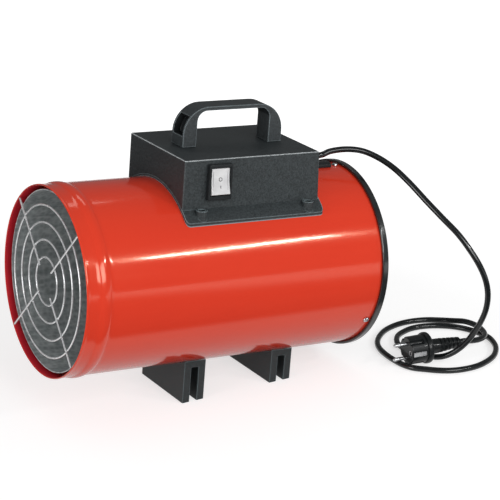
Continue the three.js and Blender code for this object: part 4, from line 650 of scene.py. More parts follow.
def hoop(radius, wire, x, sides=12):
    """A closed ring of round wire about the tube's axis."""
    section = [
        (x + wire / 2 * math.cos(math.tau * i / sides), radius + wire / 2 * math.sin(math.tau * i / sides))
        for i in range(sides)
    ]
    return turned(section, 96, ring=True)


def smooth_route(points, per_span=6):
    """Points along the smooth curve through a list of points, a fixed number in each span."""
    line = [Vector(point) for point in points]
    line = [2 * line[0] - line[1], *line, 2 * line[-1] - line[-2]]
    route = []
    for i in range(1, len(line) - 2):
        p0, p1, p2, p3 = line[i - 1:i + 3]
        d0, d1, d2 = (p1 - p0).length**0.5, (p2 - p1).length**0.5, (p3 - p2).length**0.5
        leave = ((p1 - p0) / d0 - (p2 - p0) / (d0 + d1) + (p2 - p1) / d1) * d1
        arrive = ((p2 - p1) / d1 - (p3 - p1) / (d1 + d2) + (p3 - p2) / d2) * d1
        for step in range(per_span):
            t = step / per_span
            route.append(
                p1 + leave * t + (3 * (p2 - p1) - 2 * leave - arrive) * t**2
                + (2 * (p1 - p2) + leave + arrive) * t**3
            )
    return route + [line[-2]]


# ---------------------------------------------------------------- cord and plug

REAR_DRAFT = math.radians(3.6)
BOX_FRONT = 140.4
BOX_REAR = 325.5
BOX_HALF = 69.4
GLAND_Y = -15
GLAND_Z = 130
GLAND_LENGTH = 10
SLEEVE_LENGTH = 22
SLEEVE_LIFT = math.radians(4.4)
CORD_WIDTH = 7.6


def rear_wall_x(z):
    return BOX_REAR + (BOX_TOP - z) * math.tan(REAR_DRAFT)


def on_rear_wall(y, z):
    """A place on the box's rear wall, with X pointing out of it."""
    return TUBE @ Matrix.Translation((rear_wall_x(z), y, z)) @ Matrix.Rotation(-REAR_DRAFT, 4, "Y")


GLAND = on_rear_wall(GLAND_Y, GLAND_Z)
SLEEVE = GLAND @ Matrix.Translation((GLAND_LENGTH + GAP, 0, 0)) @ Matrix.Rotation(-SLEEVE_LIFT, 4, "Y")

PLUG_FACE = (252, -95.4, 20.8)
PLUG_TURN = math.radians(173)
PLUG_LENGTH = 75.6
PLUG = SMALLER @ Matrix.Translation(PLUG_FACE) @ Matrix.Rotation(PLUG_TURN, 4, "Z")

CORD_FALL = [
    (182, -16, 276), (203, -21, 277), (222, -29, 274), (238, -41, 266), (252, -56, 254),
    (263, -76, 238), (272, -99, 220), (281, -121, 203), (292, -141, 185), (301, -154, 167),
    (310, -164, 147), (318, -167, 127), (323, -166, 108), (326, -160, 86), (326, -151, 66),
    (324, -140, 47), (319, -129, 29), (311, -119, 16), (303, -110, 8.5), (296, -101, 5),
]
CORD_LOOPS = [
    (291, -92, 4), (286, -81, 4), (280, -68, 4), (277, -54, 4), (280, -35, 4), (294, -15, 4),
    (313, -5, 4), (328, -2, 4), (344, -4, 4), (360, -11, 4), (377, -25, 4), (389, -45, 4),
    (394, -65, 4), (395, -78, 4), (391, -94, 4), (382, -112, 4), (365, -131, 4), (347, -142, 4),
    (325, -149, 4), (305, -149, 4), (289, -145, 4), (275, -137, 4), (263, -126, 4), (250, -112, 4),
    (245, -97, 4), (244, -79, 4), (245, -61, 4), (249, -40, 4), (257, -22, 4), (270, -6, 4),
    (289, 9, 4), (308, 17, 4), (327, 20, 4), (346, 18, 4), (361, 12, 4.2), (374, 1, 5),
    (383, -14, 7.5), (390, -32, 11.2), (392, -53, 13.2), (389, -71, 13.8), (382, -87, 14.4),
    (371, -98, 15.4), (358, -104, 17), (346, -106, 19),
]


def cord():
    """One sheathed cord from the sleeve to the plug."""
    chosen = [Vector(point) * MM for point in CORD_FALL + CORD_LOOPS]
    ends = [
        SLEEVE @ Vector((SLEEVE_LENGTH + GAP, 0, 0)), SLEEVE @ Vector((SLEEVE_LENGTH + 8, 0, 0)),
        PLUG @ Vector((-PLUG_LENGTH - CORD_WIDTH, 0, 0)), PLUG @ Vector((-PLUG_LENGTH - GAP, 0, 0)),
    ]
    route = smooth_route([*ends[:2], *chosen, *ends[2:]])
    data = bpy.data.curves.new("cord", "CURVE")
    data.dimensions = "3D"
    data.bevel_depth = CORD_WIDTH / 2 * MM
    data.bevel_resolution = 6
    data.use_fill_caps = True
    spline = data.splines.new("POLY")
    spline.points.add(len(route) - 1)
    for point, place in zip(spline.points, route):
        point.co = (*place, 1)
    spline.use_smooth = True
    data.materials.append(SHEATH)
    ob = placed("cord", data)
    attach(ob, "root")
    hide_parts("cord_fall", "cord_loops")
    length = sum((b - a).length for a, b in zip(route, route[1:]))
    return ob, route[0], length


def strain_relief():
    """A tapered sleeve with five slots round it."""
    body = [(0.4, 0), (0.4, 6.6), (3, 6.6)]
    for i in range(5):
        start = 4 + i * 3.2
        radius = 6.3 - 0.36 * i
        body += [
            (start, radius), (start + 0.3, radius - 0.9), (start + 1.3, radius - 0.95),
            (start + 1.6, radius - 0.1),
        ]
    body += [(SLEEVE_LENGTH - 1, 4.5), (SLEEVE_LENGTH, 4.2), (SLEEVE_LENGTH, 0)]
    sleeve_shape = turned(rounded(body, 0.3, 2), 48)
    return piece("strain_relief_sleeve", sleeve_shape, BLACK, ["strain_relief"], place=SLEEVE)


def cord_gland():
    flange = turned_ring([
        (-9, 3), (-9, 7.6), (0.3, 7.6), (0.3, 10), (5, 10), (10, 8), (10, 3),
    ], 0.5, 72)
    flats = [around(block((3.2, 9.1, -12), (12, 14, 12)), 60 * i) for i in range(6)]
    return piece("cord_gland_nut", carved(flange, *flats), BLACK, ["cord_gland"], place=GLAND)


PLUG_RADIUS = 18.2
COLLAR_RADIUS = 20.5
BODY_END = -22
COLLAR_END = -31
PIN_PITCH = 19


def plug_body():
    """An earthed plug: a round head with two guide grooves, a collar and a ribbed tail."""
    head = turned(rounded([
        (0, 0), (0, PLUG_RADIUS - 0.2), (BODY_END - 1, PLUG_RADIUS), (BODY_END - 1, 0),
    ], 1.2), 96)
    pin_seats = [rod(2.7, -9, 3, z=side * PIN_PITCH / 2) for side in (1, -1)]
    socket_seat = rod(3.7, -14, 3, y=10)
    guides = [
        around(rod(3.4, BODY_END + 3.5, 4, z=PLUG_RADIUS - 0.4), angle) for angle in (38, -38, 142, -142)
    ]
    strips = [
        block((-20.5, side * (PLUG_RADIUS - 0.7) - 1.2, -3.4), (4, side * (PLUG_RADIUS - 0.7) + 1.2, 3.4))
        for side in (1, -1)
    ]
    head = carved(head, *pin_seats, socket_seat, *guides, *strips)
    collar = turned_ring([
        (BODY_END + 0.2, 6), (BODY_END - 1, COLLAR_RADIUS - 0.6), (BODY_END - 4, COLLAR_RADIUS),
        (COLLAR_END + 1.5, COLLAR_RADIUS - 0.4), (COLLAR_END, COLLAR_RADIUS - 5), (COLLAR_END - 1, 6),
    ], 1.1, 96)
    tail = [(COLLAR_END + 2, 0), (COLLAR_END + 2, 11.2), (COLLAR_END - 4, 9.6), (COLLAR_END - 12, 9.4)]
    pitch = 6.6
    for i in range(5):
        start = COLLAR_END - 13.5 - i * pitch * 0.92
        radius = 9.5 - 0.55 * i
        tail += [
            (start, radius), (start - 0.5, radius - 1.6), (start - 2, radius - 1.7),
            (start - 2.5, radius - 0.1),
        ]
    tail += [(-PLUG_LENGTH + 0.6, 6.6), (-PLUG_LENGTH, 6), (-PLUG_LENGTH, 0)]
    grip = turned(rounded(tail, 0.5, 3), 72)
    whole = gathered(head, collar, grip)
    return piece("plug_moulding", whole, PLUG_RUBBER, ["plug_body"], place=PLUG)


def plug_metal():
    """Two pins, the earth socket's sleeve and two earth strips."""
    made = []
    for name, side in (("plug_pin_upper", 1), ("plug_pin_lower", -1)):
        profile = rounded([(-8, 0), (-8, 2.4), (17.4, 2.4), (19, 1.3), (19, 0)], 0.7)
        pin = moved(turned(profile, 40), 0, 0, side * PIN_PITCH / 2)
        made.append(piece(name + "_turned", pin, ZINC, [name], place=PLUG))
    ring = turned_ring([(-13, 2.4), (-13, 3.4), (0.1, 3.4), (0.1, 2.4)], 0.25, 40)
    made.append(piece("plug_earth_sleeve", moved(ring, 0, 10, 0), ZINC, ["plug_earth_socket"], place=PLUG))
    for name, side in (("plug_earth_clip_near", 1), ("plug_earth_clip_far", -1)):
        edge = side * (PLUG_RADIUS - 1.1)
        strip = eased(block((-20, edge - 0.5, -3), (-1.7, edge + 0.5, 3)), 0.3)
        made.append(piece(name + "_strip", strip, ZINC, [name], place=PLUG))
    return made


cord_piece, cord_exit, cord_length = cord()
sleeve = strain_relief()
plug_pieces = [plug_body(), *plug_metal()]

# ---------------------------------------------------------------- casing, inner tube, grilles, trim

BEAD_START = 17
BEAD_WIDTH = 15


def bead_rise(x):
    share = (x - BEAD_START) / BEAD_WIDTH
    return BEAD_PROUD * math.sin(math.pi * share) ** 0.7 if 0 < share < 1 else 0


def casing():
    """Rolled sheet with a hemmed front edge and a bead behind it."""
    along_bead = [BEAD_START + BEAD_WIDTH * i / 12 for i in range(13)]
    stations = [BEAD_START - 4, *along_bead, BEAD_START + BEAD_WIDTH + 4]
    outer = [(x, CASING_RADIUS + bead_rise(x)) for x in stations]
    inner = [(x, CASING_BORE + bead_rise(x)) for x in reversed(stations)]
    hem = [
        (2.2, CASING_BORE - 0.3), (0.7, CASING_BORE + 0.1), (0.05, CASING_RADIUS - 0.5),
        (0.4, CASING_RADIUS + 0.2), (1.6, CASING_RADIUS + 0.5), (3, CASING_RADIUS + 0.4),
        (4.2, CASING_RADIUS + 0.05), (5, CASING_RADIUS),
    ]
    rear = [(CASING_LENGTH - 2, CASING_RADIUS), (CASING_LENGTH - 0.3, CASING_RADIUS)]
    rear += [(CASING_LENGTH, CASING_RADIUS - 0.3), (CASING_LENGTH, CASING_BORE + 0.3)]
    rear += [(CASING_LENGTH - 0.3, CASING_BORE), (CASING_LENGTH - 2, CASING_BORE)]
    shell = turned([*hem, *outer, *rear, *inner, (5, CASING_BORE)], ROUND, ring=True)
    # inward faces behind the hem take the darker red: painted shade inside the casing
    for face in shell.faces:
        middle = face.calc_center_median()
        outward_share = face.normal.y * middle.y + face.normal.z * middle.z
        inside_hem = middle.x > 0.9 and Vector((middle.y, middle.z)).length < CASING_RADIUS - 0.4
        face.material_index = int(outward_share < 0 and inside_hem)
    casing_piece = piece("red_casing", shell, RED, ["casing_tube"], sharp=60)
    casing_piece.data.materials.append(INSIDE_SHADE_RED)
    return casing_piece


def inner_duct():
    """Galvanised sheet with a turned-out front lip and six spacers."""
    outer = 108.5
    bore = outer - 1
    start, end = INNER_LOW.x, INNER_HIGH.x
    shell = turned_ring([
        (start, outer + 0.6), (start + 2.4, outer), (end, outer), (end, bore), (start, bore + 0.2),
    ], 0.35, ROUND, 3)
    tabs = []
    for x in (40, 262):
        for angle in (60, 180, 300):
            tab = eased(block((x - 7, -6, outer - 0.4), (x + 7, 6, CASING_BORE - 0.6)), 0.8)
            tabs.append(around(tab, angle))
    return piece("galvanised_duct", gathered(shell, *tabs), GALVANISED, ["inner_tube"], sharp=50)


GRILLE_WIRE = 2.6
GRILLE_RADII = (28.8, 49.5, 70.2, 90.9)
GRILLE_X = 1.5
WELD_SIZE = (1.1, 1.9, 1.9, 1)


def outlet_grille():
    """Four welded wire rings behind four radial wires."""
    ring_x = GRILLE_X + GRILLE_WIRE * 0.8
    rings = [hoop(radius, GRILLE_WIRE, ring_x) for radius in GRILLE_RADII]
    parts = []
    for angle in (45, 135, 225, 315):
        path = [(GRILLE_X, 0, 22), (GRILLE_X, 0, 70), (GRILLE_X, 0, CASING_BORE - 0.7)]
        wire = swept(path, GRILLE_WIRE / 2)
        welds = []
        for radius in GRILLE_RADII:
            bead = bmesh.new()
            spot = Matrix.Translation((GRILLE_X + GRILLE_WIRE * 0.45, 0, radius))
            spot = spot @ Matrix.Diagonal(WELD_SIZE)
            bmesh.ops.create_icosphere(bead, subdivisions=2, radius=1, matrix=spot)
            welds.append(bead)
        parts.append(around(gathered(wire, *welds), angle))
    return piece("outlet_wire_grille", gathered(*rings, *parts), WIRE, ["outlet_grille"], sharp=60)


GUARD_X = 396.5
GUARD_WIRE = 2.8
GUARD_OUTER = 108.5
GUARD_RADII = [30 + (GUARD_OUTER - 30) * ring / 3 for ring in range(4)]


def rear_guard():
    """Coated wire rings on three crossing wires, held by three tabs."""
    rings = [hoop(radius, GUARD_WIRE, GUARD_X) for radius in GUARD_RADII]
    wire_x = GUARD_X + GUARD_WIRE * 0.8
    reach = GUARD_RADII[-1]
    across = [(wire_x, 0, -reach), (wire_x, 0, reach)]
    wires = [around(swept(across, GUARD_WIRE / 2), angle) for angle in (30, 90, 150)]
    tabs = []
    for angle in (0, 120, 240):
        tab = eased(block((GUARD_X - 5, -6, reach - 0.5), (GUARD_X + 5, 6, CASING_BORE - 0.6)), 0.8)
        tabs.append(around(tab, angle))
    return piece("rear_wire_guard", gathered(*rings, *wires, *tabs), COATED_WIRE, ["rear_guard"], sharp=60)


def rear_trim():
    """Rubber edging with a U section, pressed over the casing's rear edge."""
    end = TRIM_HIGH.x
    radius = TRIM_HIGH.z
    web = end - 4
    bore = 110.8
    edging = turned_ring([
        (end, bore), (end, radius), (web - 4, radius), (web - 4, SEAT_RADIUS), (web, SEAT_RADIUS),
        (web, CASING_BORE - GAP), (web - 4, CASING_BORE - GAP), (web - 4, bore),
    ], 1.5, ROUND, 5)
    return piece("rear_rubber_edging", edging, EDGE, ["rear_edge_trim"], sharp=60)


casing()
inner_duct()
outlet_grille()
rear_guard()
rear_trim()

# ---------------------------------------------------------------- fan, motor and burner


RIB_PITCH = 3.8


def fan():
    """Five twisted blades on a domed hub."""
    hub = turned_ring([
        (FAN_X - 10, 4.3), (FAN_X - 10, 15), (FAN_X - 7, 17), (FAN_X + 10, 17), (FAN_X + 10, 4.3),
    ], 1.4, 64)
    blades = []
    for number in range(5):
        blade = bmesh.new()
        bmesh.ops.create_grid(blade, x_segments=6, y_segments=12, size=0.5)
        for vert in blade.verts:
            along = vert.co.y + 0.5
            reach = 14 + 84 * along
            chord = 26 + 14 * along - 16 * max(0, along - 0.85) / 0.15 * abs(vert.co.x) * 2
            angle = math.radians(44 - 14 * along)
            camber = 2.2 * (1 - (2 * vert.co.x) ** 2)
            u = vert.co.x * chord
            vert.co = (
                FAN_X - u * math.sin(angle) * 0.98 + camber * math.cos(angle),
                u * math.cos(angle) + camber * math.sin(angle),
                math.sqrt(max(reach**2 - (u * math.cos(angle)) ** 2, 100)),
            )
        bmesh.ops.solidify(blade, geom=list(blade.faces), thickness=1.8)
        bmesh.ops.recalc_face_normals(blade, faces=blade.faces)
        blades.append(around(blade, 72 * number))
    whole = gathered(hub, *blades)
    return piece("fan_blades_and_hub", whole, FAN_PLASTIC, ["fan_impeller"], body="fan_rotor")


def ribs(x, limit, radius):
    """The profile of evenly spaced cooling ribs."""
    profile = []
    while x < limit:
        top, root = radius - 0.4, radius - 2.2
        profile += [(x, top), (x + 1.6, top), (x + 2, root), (x + 3.4, root)]
        x += RIB_PITCH
    return profile


def motor():
    """A cast motor with cooling ribs and a screwed end cap."""
    front, rear = extent("motor_body")
    start, end, radius = front.x, rear.x, rear.z
    profile = [(344, 0), (344, 4.3), (start, 4.3), (start, radius * 0.5), (start + 4, radius - 0.6)]
    profile += ribs(start + 6, 349, radius)
    profile += [(350, radius - 0.2), (362, radius - 0.2), (364, radius - 0.2)]
    profile += ribs(365, end - 8, radius)
    profile += [(end - 5, radius - 0.4), (end, radius * 0.62), (end, radius * 0.3)]
    profile += [(end - 1.5, radius * 0.26), (end - 1.5, 0)]
    body = turned(rounded(profile, 0.4, 2), 96)
    screws = [
        around(moved(rod(2.6, end - 4, end - 0.4), 0, 0, radius * 0.68), angle)
        for angle in (45, 135, 225, 315)
    ]
    return piece("motor_casting", gathered(body, *screws), CAST, ["motor_body"])


def motor_bracket():
    """A clamp band on three sheet arms."""
    inside = 38 + GAP
    outside = inside + 3
    reach = CASING_BORE - 0.6
    band = turned_ring([(350, inside), (350, outside), (362, outside), (362, inside)], 0.6, 96)
    arms = []
    for angle in (60, 180, 300):
        arm = eased(block((354.5, -6, outside - 1.5), (357.5, 6, reach - 0.6)), 0.5)
        pad = eased(block((350, -6, reach - 3), (362, 6, reach)), 0.6)
        arms.append(around(gathered(arm, pad), angle))
    return piece("motor_clamp_band", gathered(band, *arms), GALVANISED, ["motor_bracket"])


def burner():
    """A pierced sheet-steel cup that opens towards the outlet."""
    back, mouth, bend = 268, 196, 212
    cup = turned_ring([
        (back, 7.2), (back, 23), (bend, 50), (mouth, 50), (mouth, 48.8), (bend + 0.3, 48.8),
        (back - 1.2, 21.8), (back - 1.2, 7.2),
    ], 0.5, 96, 3)
    holes = [around(moved(upright(rod(5, 5, 60)), (back + bend) / 2, 0, 0), 45 * i + 22.5) for i in range(8)]
    ports = [rod(3.7, back - 12, back + 5, y=side * 16) for side in (1, -1)]
    return piece("burner_cup", carved(cup, *holes, *ports), BURNT, ["burner_cone"])


def burner_spider():
    """A plate and three arms that carry the burner in the duct."""
    start, end = 268 + GAP, 270.8
    plate = turned([(start, 7.2), (start, 26), (end, 26), (end, 7.2)], 72, ring=True)
    reach = 106.9
    arms = [around(eased(block((start, -6, 24), (end, 6, reach)), 0.4), angle) for angle in (0, 120, 240)]
    ports = [rod(3.7, start - 5, end + 5, y=side * 16) for side in (1, -1)]
    whole = gathered(carved(plate, *ports), *arms)
    return piece("burner_carrier", whole, GALVANISED, ["burner_spider"])


def gas_nozzle():
    front, rear = extent("gas_nozzle")
    seat = rear.x - 8.4
    tip = turned(rounded([
        (front.x, 0), (front.x, 3.4), (front.x + 3, 6.9), (seat + 1, 6.9), (seat + 1, 0),
    ], 0.4), 48)
    nut = hexagon(8.9, 8.4, seat + 4.2)
    return piece("gas_jet", gathered(tip, eased(nut, 0.5)), BRASS, ["gas_nozzle"])


fan()
motor()
motor_bracket()
burner()
burner_spider()
gas_nozzle()

# ---------------------------------------------------------------- control box


BOX_WALL = 2.5
BOX_EDGE = 1.4


def box_shell():
    """The box's skin: a drafted rear wall, rounded edges and a hollow inside."""
    low = 60

    def hull(inset, edge):
        bm = block(
            (BOX_FRONT + inset, -BOX_HALF + inset, low),
            (BOX_REAR - inset, BOX_HALF - inset, BOX_TOP - inset),
        )
        upper = [e for e in bm.edges if max(v.co.z for v in e.verts) > low + 1]
        bmesh.ops.bevel(
            bm, geom=upper, offset=edge, offset_type="OFFSET", affect="EDGES", segments=5,
            profile=0.5, material=-1, clamp_overlap=True,
        )
        for vert in bm.verts:
            share = (vert.co.x - BOX_FRONT) / (BOX_REAR - BOX_FRONT)
            vert.co.x += share * (BOX_TOP - vert.co.z) * math.tan(REAR_DRAFT)
        return bm

    return hull(0, BOX_EDGE), hull(BOX_WALL, 0.8)


FLANGE_HALF = 84
FLANGE_FRONT = BOX_FRONT - 0.4
FLANGE_REAR = rear_wall_x(86.5) + 0.4
BOSS_PLACES = [(163, -76.3), (163, 76.3), (310, -76.3), (310, 76.3)]


def rounded_plan(low_x, high_x, half_y, corner):
    return rounded(
        [(low_x, -half_y), (high_x, -half_y), (high_x, half_y), (low_x, half_y)], corner, 6, closed=True,
    )


def core(radius, start, end):
    return turned([(start, 0), (start, radius), (end, radius), (end, 0)])


SWITCH_X = (SWITCH_LOW.x + SWITCH_HIGH.x) / 2
SWITCH_Z = (SWITCH_LOW.z + SWITCH_HIGH.z) / 2
BUTTONS = {"valve": (285, 9), "igniter": (232, 6)}
BUTTON_Z = 126
GUIDE_WALL = 3
INLET_Y = 32
INLET_Z = 134


def around_switch(half_x, low_y, high_y, half_z):
    """A block centred on the switch in X and Z."""
    low = (SWITCH_X - half_x, low_y, SWITCH_Z - half_z)
    return block(low, (SWITCH_X + half_x, high_y, SWITCH_Z + half_z))


def control_box():
    skin, hollow = box_shell()
    plan = wall(rounded_plan(FLANGE_FRONT, FLANGE_REAR, FLANGE_HALF, 6), 60, 90, axis="Z")
    flange = carved(plan, core(SEAT_RADIUS + 3, 100, 360), keep="INTERSECT")
    bosses = [upright(rod(7, 60, 96.5, soft=0.5)) for _ in BOSS_PLACES]
    bosses = [moved(boss, x, y, 0) for boss, (x, y) in zip(bosses, BOSS_PLACES)]
    whole = carved(skin, flange, *bosses, keep="UNION")
    switch_hole = around_switch(14.6, -80, -60, 19.6)
    pockets = [moved(upright(rod(4.4, 90, 110, soft=0.1)), x, y, 0) for x, y in BOSS_PLACES]
    button_holes = [
        moved(outward(rod(radius + GUIDE_WALL + GAP, 60, 76, soft=0.1)), x, 0, BUTTON_Z)
        for x, radius in BUTTONS.values()
    ]
    rear_holes = [
        rod(radius, 318, 336, y=y, z=z, soft=0.1)
        for radius, y, z in ((7.9, GLAND_Y, GLAND_Z), (6.5, INLET_Y, INLET_Z))
    ]
    lead_notch = block((318, -3, 100), (336, 3, 119.9))
    seat = core(SEAT_RADIUS, 100, 360)
    shell = carved(whole, hollow, seat, switch_hole, *pockets, *button_holes, *rear_holes, lead_notch)
    shell.normal_update()
    # the bevels along the top edges take the pale plastic: a painted highlight where light catches them
    for face in shell.faces:
        on_top_edge = face.calc_center_median().z > BOX_TOP - BOX_EDGE - 0.1
        if on_top_edge and 0.2 < face.normal.z < 0.97:
            face.material_index = 1
    box = piece("control_box_shell", shell, BOX_PLASTIC, ["control_box"], sharp=30)
    box.data.materials.append(EDGE_HIGHLIGHT_PLASTIC)
    return box


control_box()

# ---------------------------------------------------------------- handle


def handle_outline(low, high, grip, leg, outer, inner):
    """The bow's side view: two legs, big outer corners and smaller inner ones."""
    (front, base), (rear, top) = low, high
    points = []

    def arc(x, z, radius, start, end, steps=14):
        for i in range(steps + 1):
            angle = math.radians(start + (end - start) * i / steps)
            points.append((x + radius * math.cos(angle), z + radius * math.sin(angle)))

    points.append((front, base))
    arc(front + outer, top - outer, outer, 180, 90)
    arc(rear - outer, top - outer, outer, 90, 0)
    points.append((rear, base))
    points.append((rear - leg, base))
    under = top - grip
    arc(rear - leg - inner, under - inner, inner, 0, 90)
    arc(front + leg + inner, under - inner, inner, 90, 180)
    points.append((front + leg, base))
    return points


HANDLE_GRIP = 5
HANDLE_LEG = 18.5
HANDLE_BEND = 34
HANDLE_INNER_BEND = 13
HOLLOW_WIDTH = 22.5
HOLLOW_DEPTH = 10
HOLLOW_RISE = 13.7
HOLLOW_END = 138


def handle():
    """A bow with a deep hollow in the outer face of each leg."""
    front, base, rear, top = HANDLE_LOW.x, HANDLE_LOW.z, HANDLE_HIGH.x, HANDLE_HIGH.z
    width = HANDLE_HIGH.y - HANDLE_LOW.y
    sizes = (HANDLE_GRIP, HANDLE_LEG, HANDLE_BEND, HANDLE_INNER_BEND)
    bow = wall(handle_outline((front, base), (rear, top), *sizes), width)
    middle = (front + rear) / 2
    bottom = base + HOLLOW_RISE
    centre_x, centre_z, deep = front + HANDLE_BEND, top - HANDLE_BEND, HANDLE_BEND - HOLLOW_DEPTH
    slot = [(front - 6, bottom), (front + HOLLOW_DEPTH, bottom)]
    for i in range(11):
        angle = math.radians(180 - (180 - HOLLOW_END) * i / 10)
        slot.append((centre_x + deep * math.cos(angle), centre_z + deep * math.sin(angle)))
    out, past = math.radians(HOLLOW_END), HANDLE_BEND + 10
    slot += [(centre_x + past * math.cos(out), centre_z + past * math.sin(out))]
    slot += [(front - 6, centre_z + past * math.sin(out))]
    slots = [wall(slot, HOLLOW_WIDTH), wall([(2 * middle - x, z) for x, z in slot], HOLLOW_WIDTH)]
    shape = eased(carved(bow, *slots), 0.9, segments=3, least=40)
    # faces inside each leg's hollow take the black plastic: painted shade in the recess
    for face in shape.faces:
        spot = face.calc_center_median()
        across = abs(spot.x - middle)
        bend = math.hypot(across - (rear - HANDLE_BEND - middle), spot.z - centre_z)
        below_bend = spot.z < centre_z and across < rear - middle - 1
        in_bend = spot.z >= centre_z and bend < HANDLE_BEND - 1 and across > rear - HANDLE_BEND - middle
        behind = rear - middle - HOLLOW_DEPTH - 0.1 < across if spot.z < centre_z else bend > deep - 0.1
        in_hollow = abs(spot.y) < HOLLOW_WIDTH / 2 + 0.05 and spot.z > bottom - 0.1
        face.material_index = int(in_hollow and behind and (below_bend or in_bend))
    bow_piece = piece("carrying_bow", shape, HANDLE_PLASTIC, ["carrying_handle"], sharp=30)
    bow_piece.data.materials.append(BLACK)
    return bow_piece


handle()

# ---------------------------------------------------------------- switch

BEZEL_Y = SWITCH_LOW.y


def switch_housing():
    """A stepped frame around a deep well, on a body behind the wall."""
    frame_block = eased(around_switch(15.8, BEZEL_Y, -BOX_HALF - GAP, 21.7), 1, segments=3)
    body = around_switch(14.3, -70, SWITCH_HIGH.y, 19.3)
    well = around_switch(12.5, BEZEL_Y - 5, BEZEL_Y + 14, 17.1)
    step = eased(around_switch(13.4, BEZEL_Y - 5, BEZEL_Y + 1, 18.6), 0.5)
    joined = carved(frame_block, body, keep="UNION")
    return piece("switch_frame", carved(joined, step, well), BLACK, ["switch_housing"], sharp=30)


ROCKER_REST = math.radians(-10)
ROCKER = (
    TUBE @ Matrix.Translation((SWITCH_X, BEZEL_Y + 6.4, SWITCH_Z)) @ Matrix.Rotation(ROCKER_REST, 4, "X")
)


def rocker():
    """A white rocker with a dished face and raised side rails."""
    outline = []
    for i in range(-8, 9):
        up = 15.4 * i / 8
        outline.append((-(5.0 + 1.6 * (abs(i) / 8) ** 1.6), up))
    outline += [(-4.5, 16.2), (0, 16.8), (5, 12.8), (5, -12.8), (0, -16.8), (-4.5, -16.2)]
    body = wall(outline, 24.4, axis="X")
    shape = eased(body, 0.5, segments=3, least=35)
    rails = []
    for side in (-1, 1):
        rail = eased(block((side * 9.6 - 0.35, -6.35, -14.6), (side * 9.6 + 0.35, -4, 14.6)), 0.2)
        rails.append(rail)
    return piece(
        "rocker_cap", gathered(shape, *rails), WHITE, ["switch_rocker"], body="switch_rocker", place=ROCKER,
        sharp=30,
    )


def rocker_marks():
    """A ring for off on the upper half and a bar for on below it."""
    ring = turned_ring([(-0.2, 1.7), (-0.2, 2.4), (0.25, 2.4), (0.25, 1.7)], 0.1, 40, 2)
    ring = moved(turn(ring, Matrix.Rotation(-math.pi / 2, 4, "Z")), 0, -5.12, 2.4)
    bar = eased(block((-0.45, -5.62, -9.4), (0.45, -5.2, -5)), 0.12)
    ob = piece("rocker_marks", gathered(ring, bar), MARKS, body="switch_rocker", place=ROCKER)


switch_housing()
rocker()
rocker_marks()

# ---------------------------------------------------------------- buttons, gas inlet and wire cover


def push_button(name, x, radius, material):
    """A sprung plunger in a flanged guide on the far wall."""
    wall_y = BOX_HALF
    bore = radius + GAP
    barrel = radius + GUIDE_WALL
    back = wall_y - 22
    face = wall_y + GAP + 3
    guide = turned(rounded([
        (back, 0), (back, barrel), (wall_y + GAP, barrel), (wall_y + GAP, barrel + 3), (face, barrel + 3),
        (face, bore), (back + 2, bore), (back + 2, 0),
    ], 0.7, 3), 64)
    piece(name + "_guide_ring", moved(outward(guide), x, 0, BUTTON_Z), BLACK, [name + "_guide"])
    plunger = turned(rounded([
        (back + 11, 0), (back + 11, radius), (face + 9, radius), (face + 8.2, radius * 0.55), (face + 8, 0),
    ], 1, 4), 64)
    piece(
        name + "_plunger", moved(outward(plunger), x, 0, BUTTON_Z), material, [name + "_button"],
        body=name + "_button",
    )


def gas_inlet():
    """A threaded brass spigot with a hexagon against the wall."""
    place = on_rear_wall(INLET_Y, INLET_Z)
    inside = extent("gas_inlet")[0].x - rear_wall_x(INLET_Z) + 0.4
    profile = [(inside, 0), (inside, 6.2), (GAP, 6.2), (GAP, 8.3), (8, 8.3)]
    x = 8.4
    while x < 22:
        profile += [(x, 8.3), (x + 0.7, 7.3), (x + 1.4, 8.3)]
        x += 1.5
    profile += [(23, 7.8), (24, 7.2), (24, 3.8), (4, 3.8), (4, 0)]
    spigot = turned(profile, 64)
    whole = gathered(spigot, eased(hexagon(10.4, 6.6, 3.7), 0.7))
    return piece("gas_spigot", whole, BRASS, ["gas_inlet"], place=place, sharp=30)


def wire_cover():
    """A low half-round cover over the motor's lead."""
    low, high = extent("wire_cover")
    half, top = high.y, high.z
    section = [(-half, 108)]
    for i in range(13):
        angle = math.pi * (1 - i / 12)
        section.append((half * math.cos(angle), top - 3.6 + 3.6 * math.sin(angle) ** 0.8))
    section.append((half, 108))
    bar = wall(section, high.x - low.x, (low.x + high.x) / 2, axis="X")
    channel = block((low.x - 5, -3, 100), (377, 3, 119.9))
    shape = eased(carved(bar, channel, core(SEAT_RADIUS, 300, 400)), 0.6, least=50)
    return piece("motor_lead_cover", shape, BLACK, ["wire_cover"], sharp=40)


push_button("valve", *BUTTONS["valve"], BUTTON)
push_button("igniter", *BUTTONS["igniter"], BLACK)
gas_inlet()
wire_cover()

# ---------------------------------------------------------------- feet

FOOT_PLACES = {"front_foot": 182.5, "rear_foot": 306}
FOOT_LEG = 9.8
FOOT_GAP = 9.8
FOOT_WEB = 8
FOOT_SPAN = 107
FOOT_SCREW_Y = 30
AXIS_HEIGHT = 171


def floor_below(x):
    """Height of the floor in the tube's frame at an X along it."""
    return (x * math.sin(TILT) - AXIS_HEIGHT) / math.cos(TILT)


def foot(node, x):
    """A channel across the tube, cradled to it, with a soft edge all round."""
    half = FOOT_LEG + FOOT_GAP / 2
    top = -CASING_RADIUS * 0.8
    front, rear = x - half, x + half
    outline = [(front, floor_below(front)), (rear, floor_below(rear)), (rear, top), (front, top)]
    slab = wall(outline, FOOT_SPAN)
    slot = block((x - FOOT_GAP / 2, -60, -200), (x + FOOT_GAP / 2, 60, -60))
    slot = carved(slot, core(SEAT_RADIUS + FOOT_WEB, x - 20, x + 20))
    shape = carved(slab, slot, core(SEAT_RADIUS, x - 40, x + 40))
    return piece(node + "_channel", eased(shape, 0.7, segments=2, least=40), FOOT_PLASTIC, [node], sharp=30)


for foot_node, foot_x in FOOT_PLACES.items():
    foot(foot_node, foot_x)

# ---------------------------------------------------------------- screws


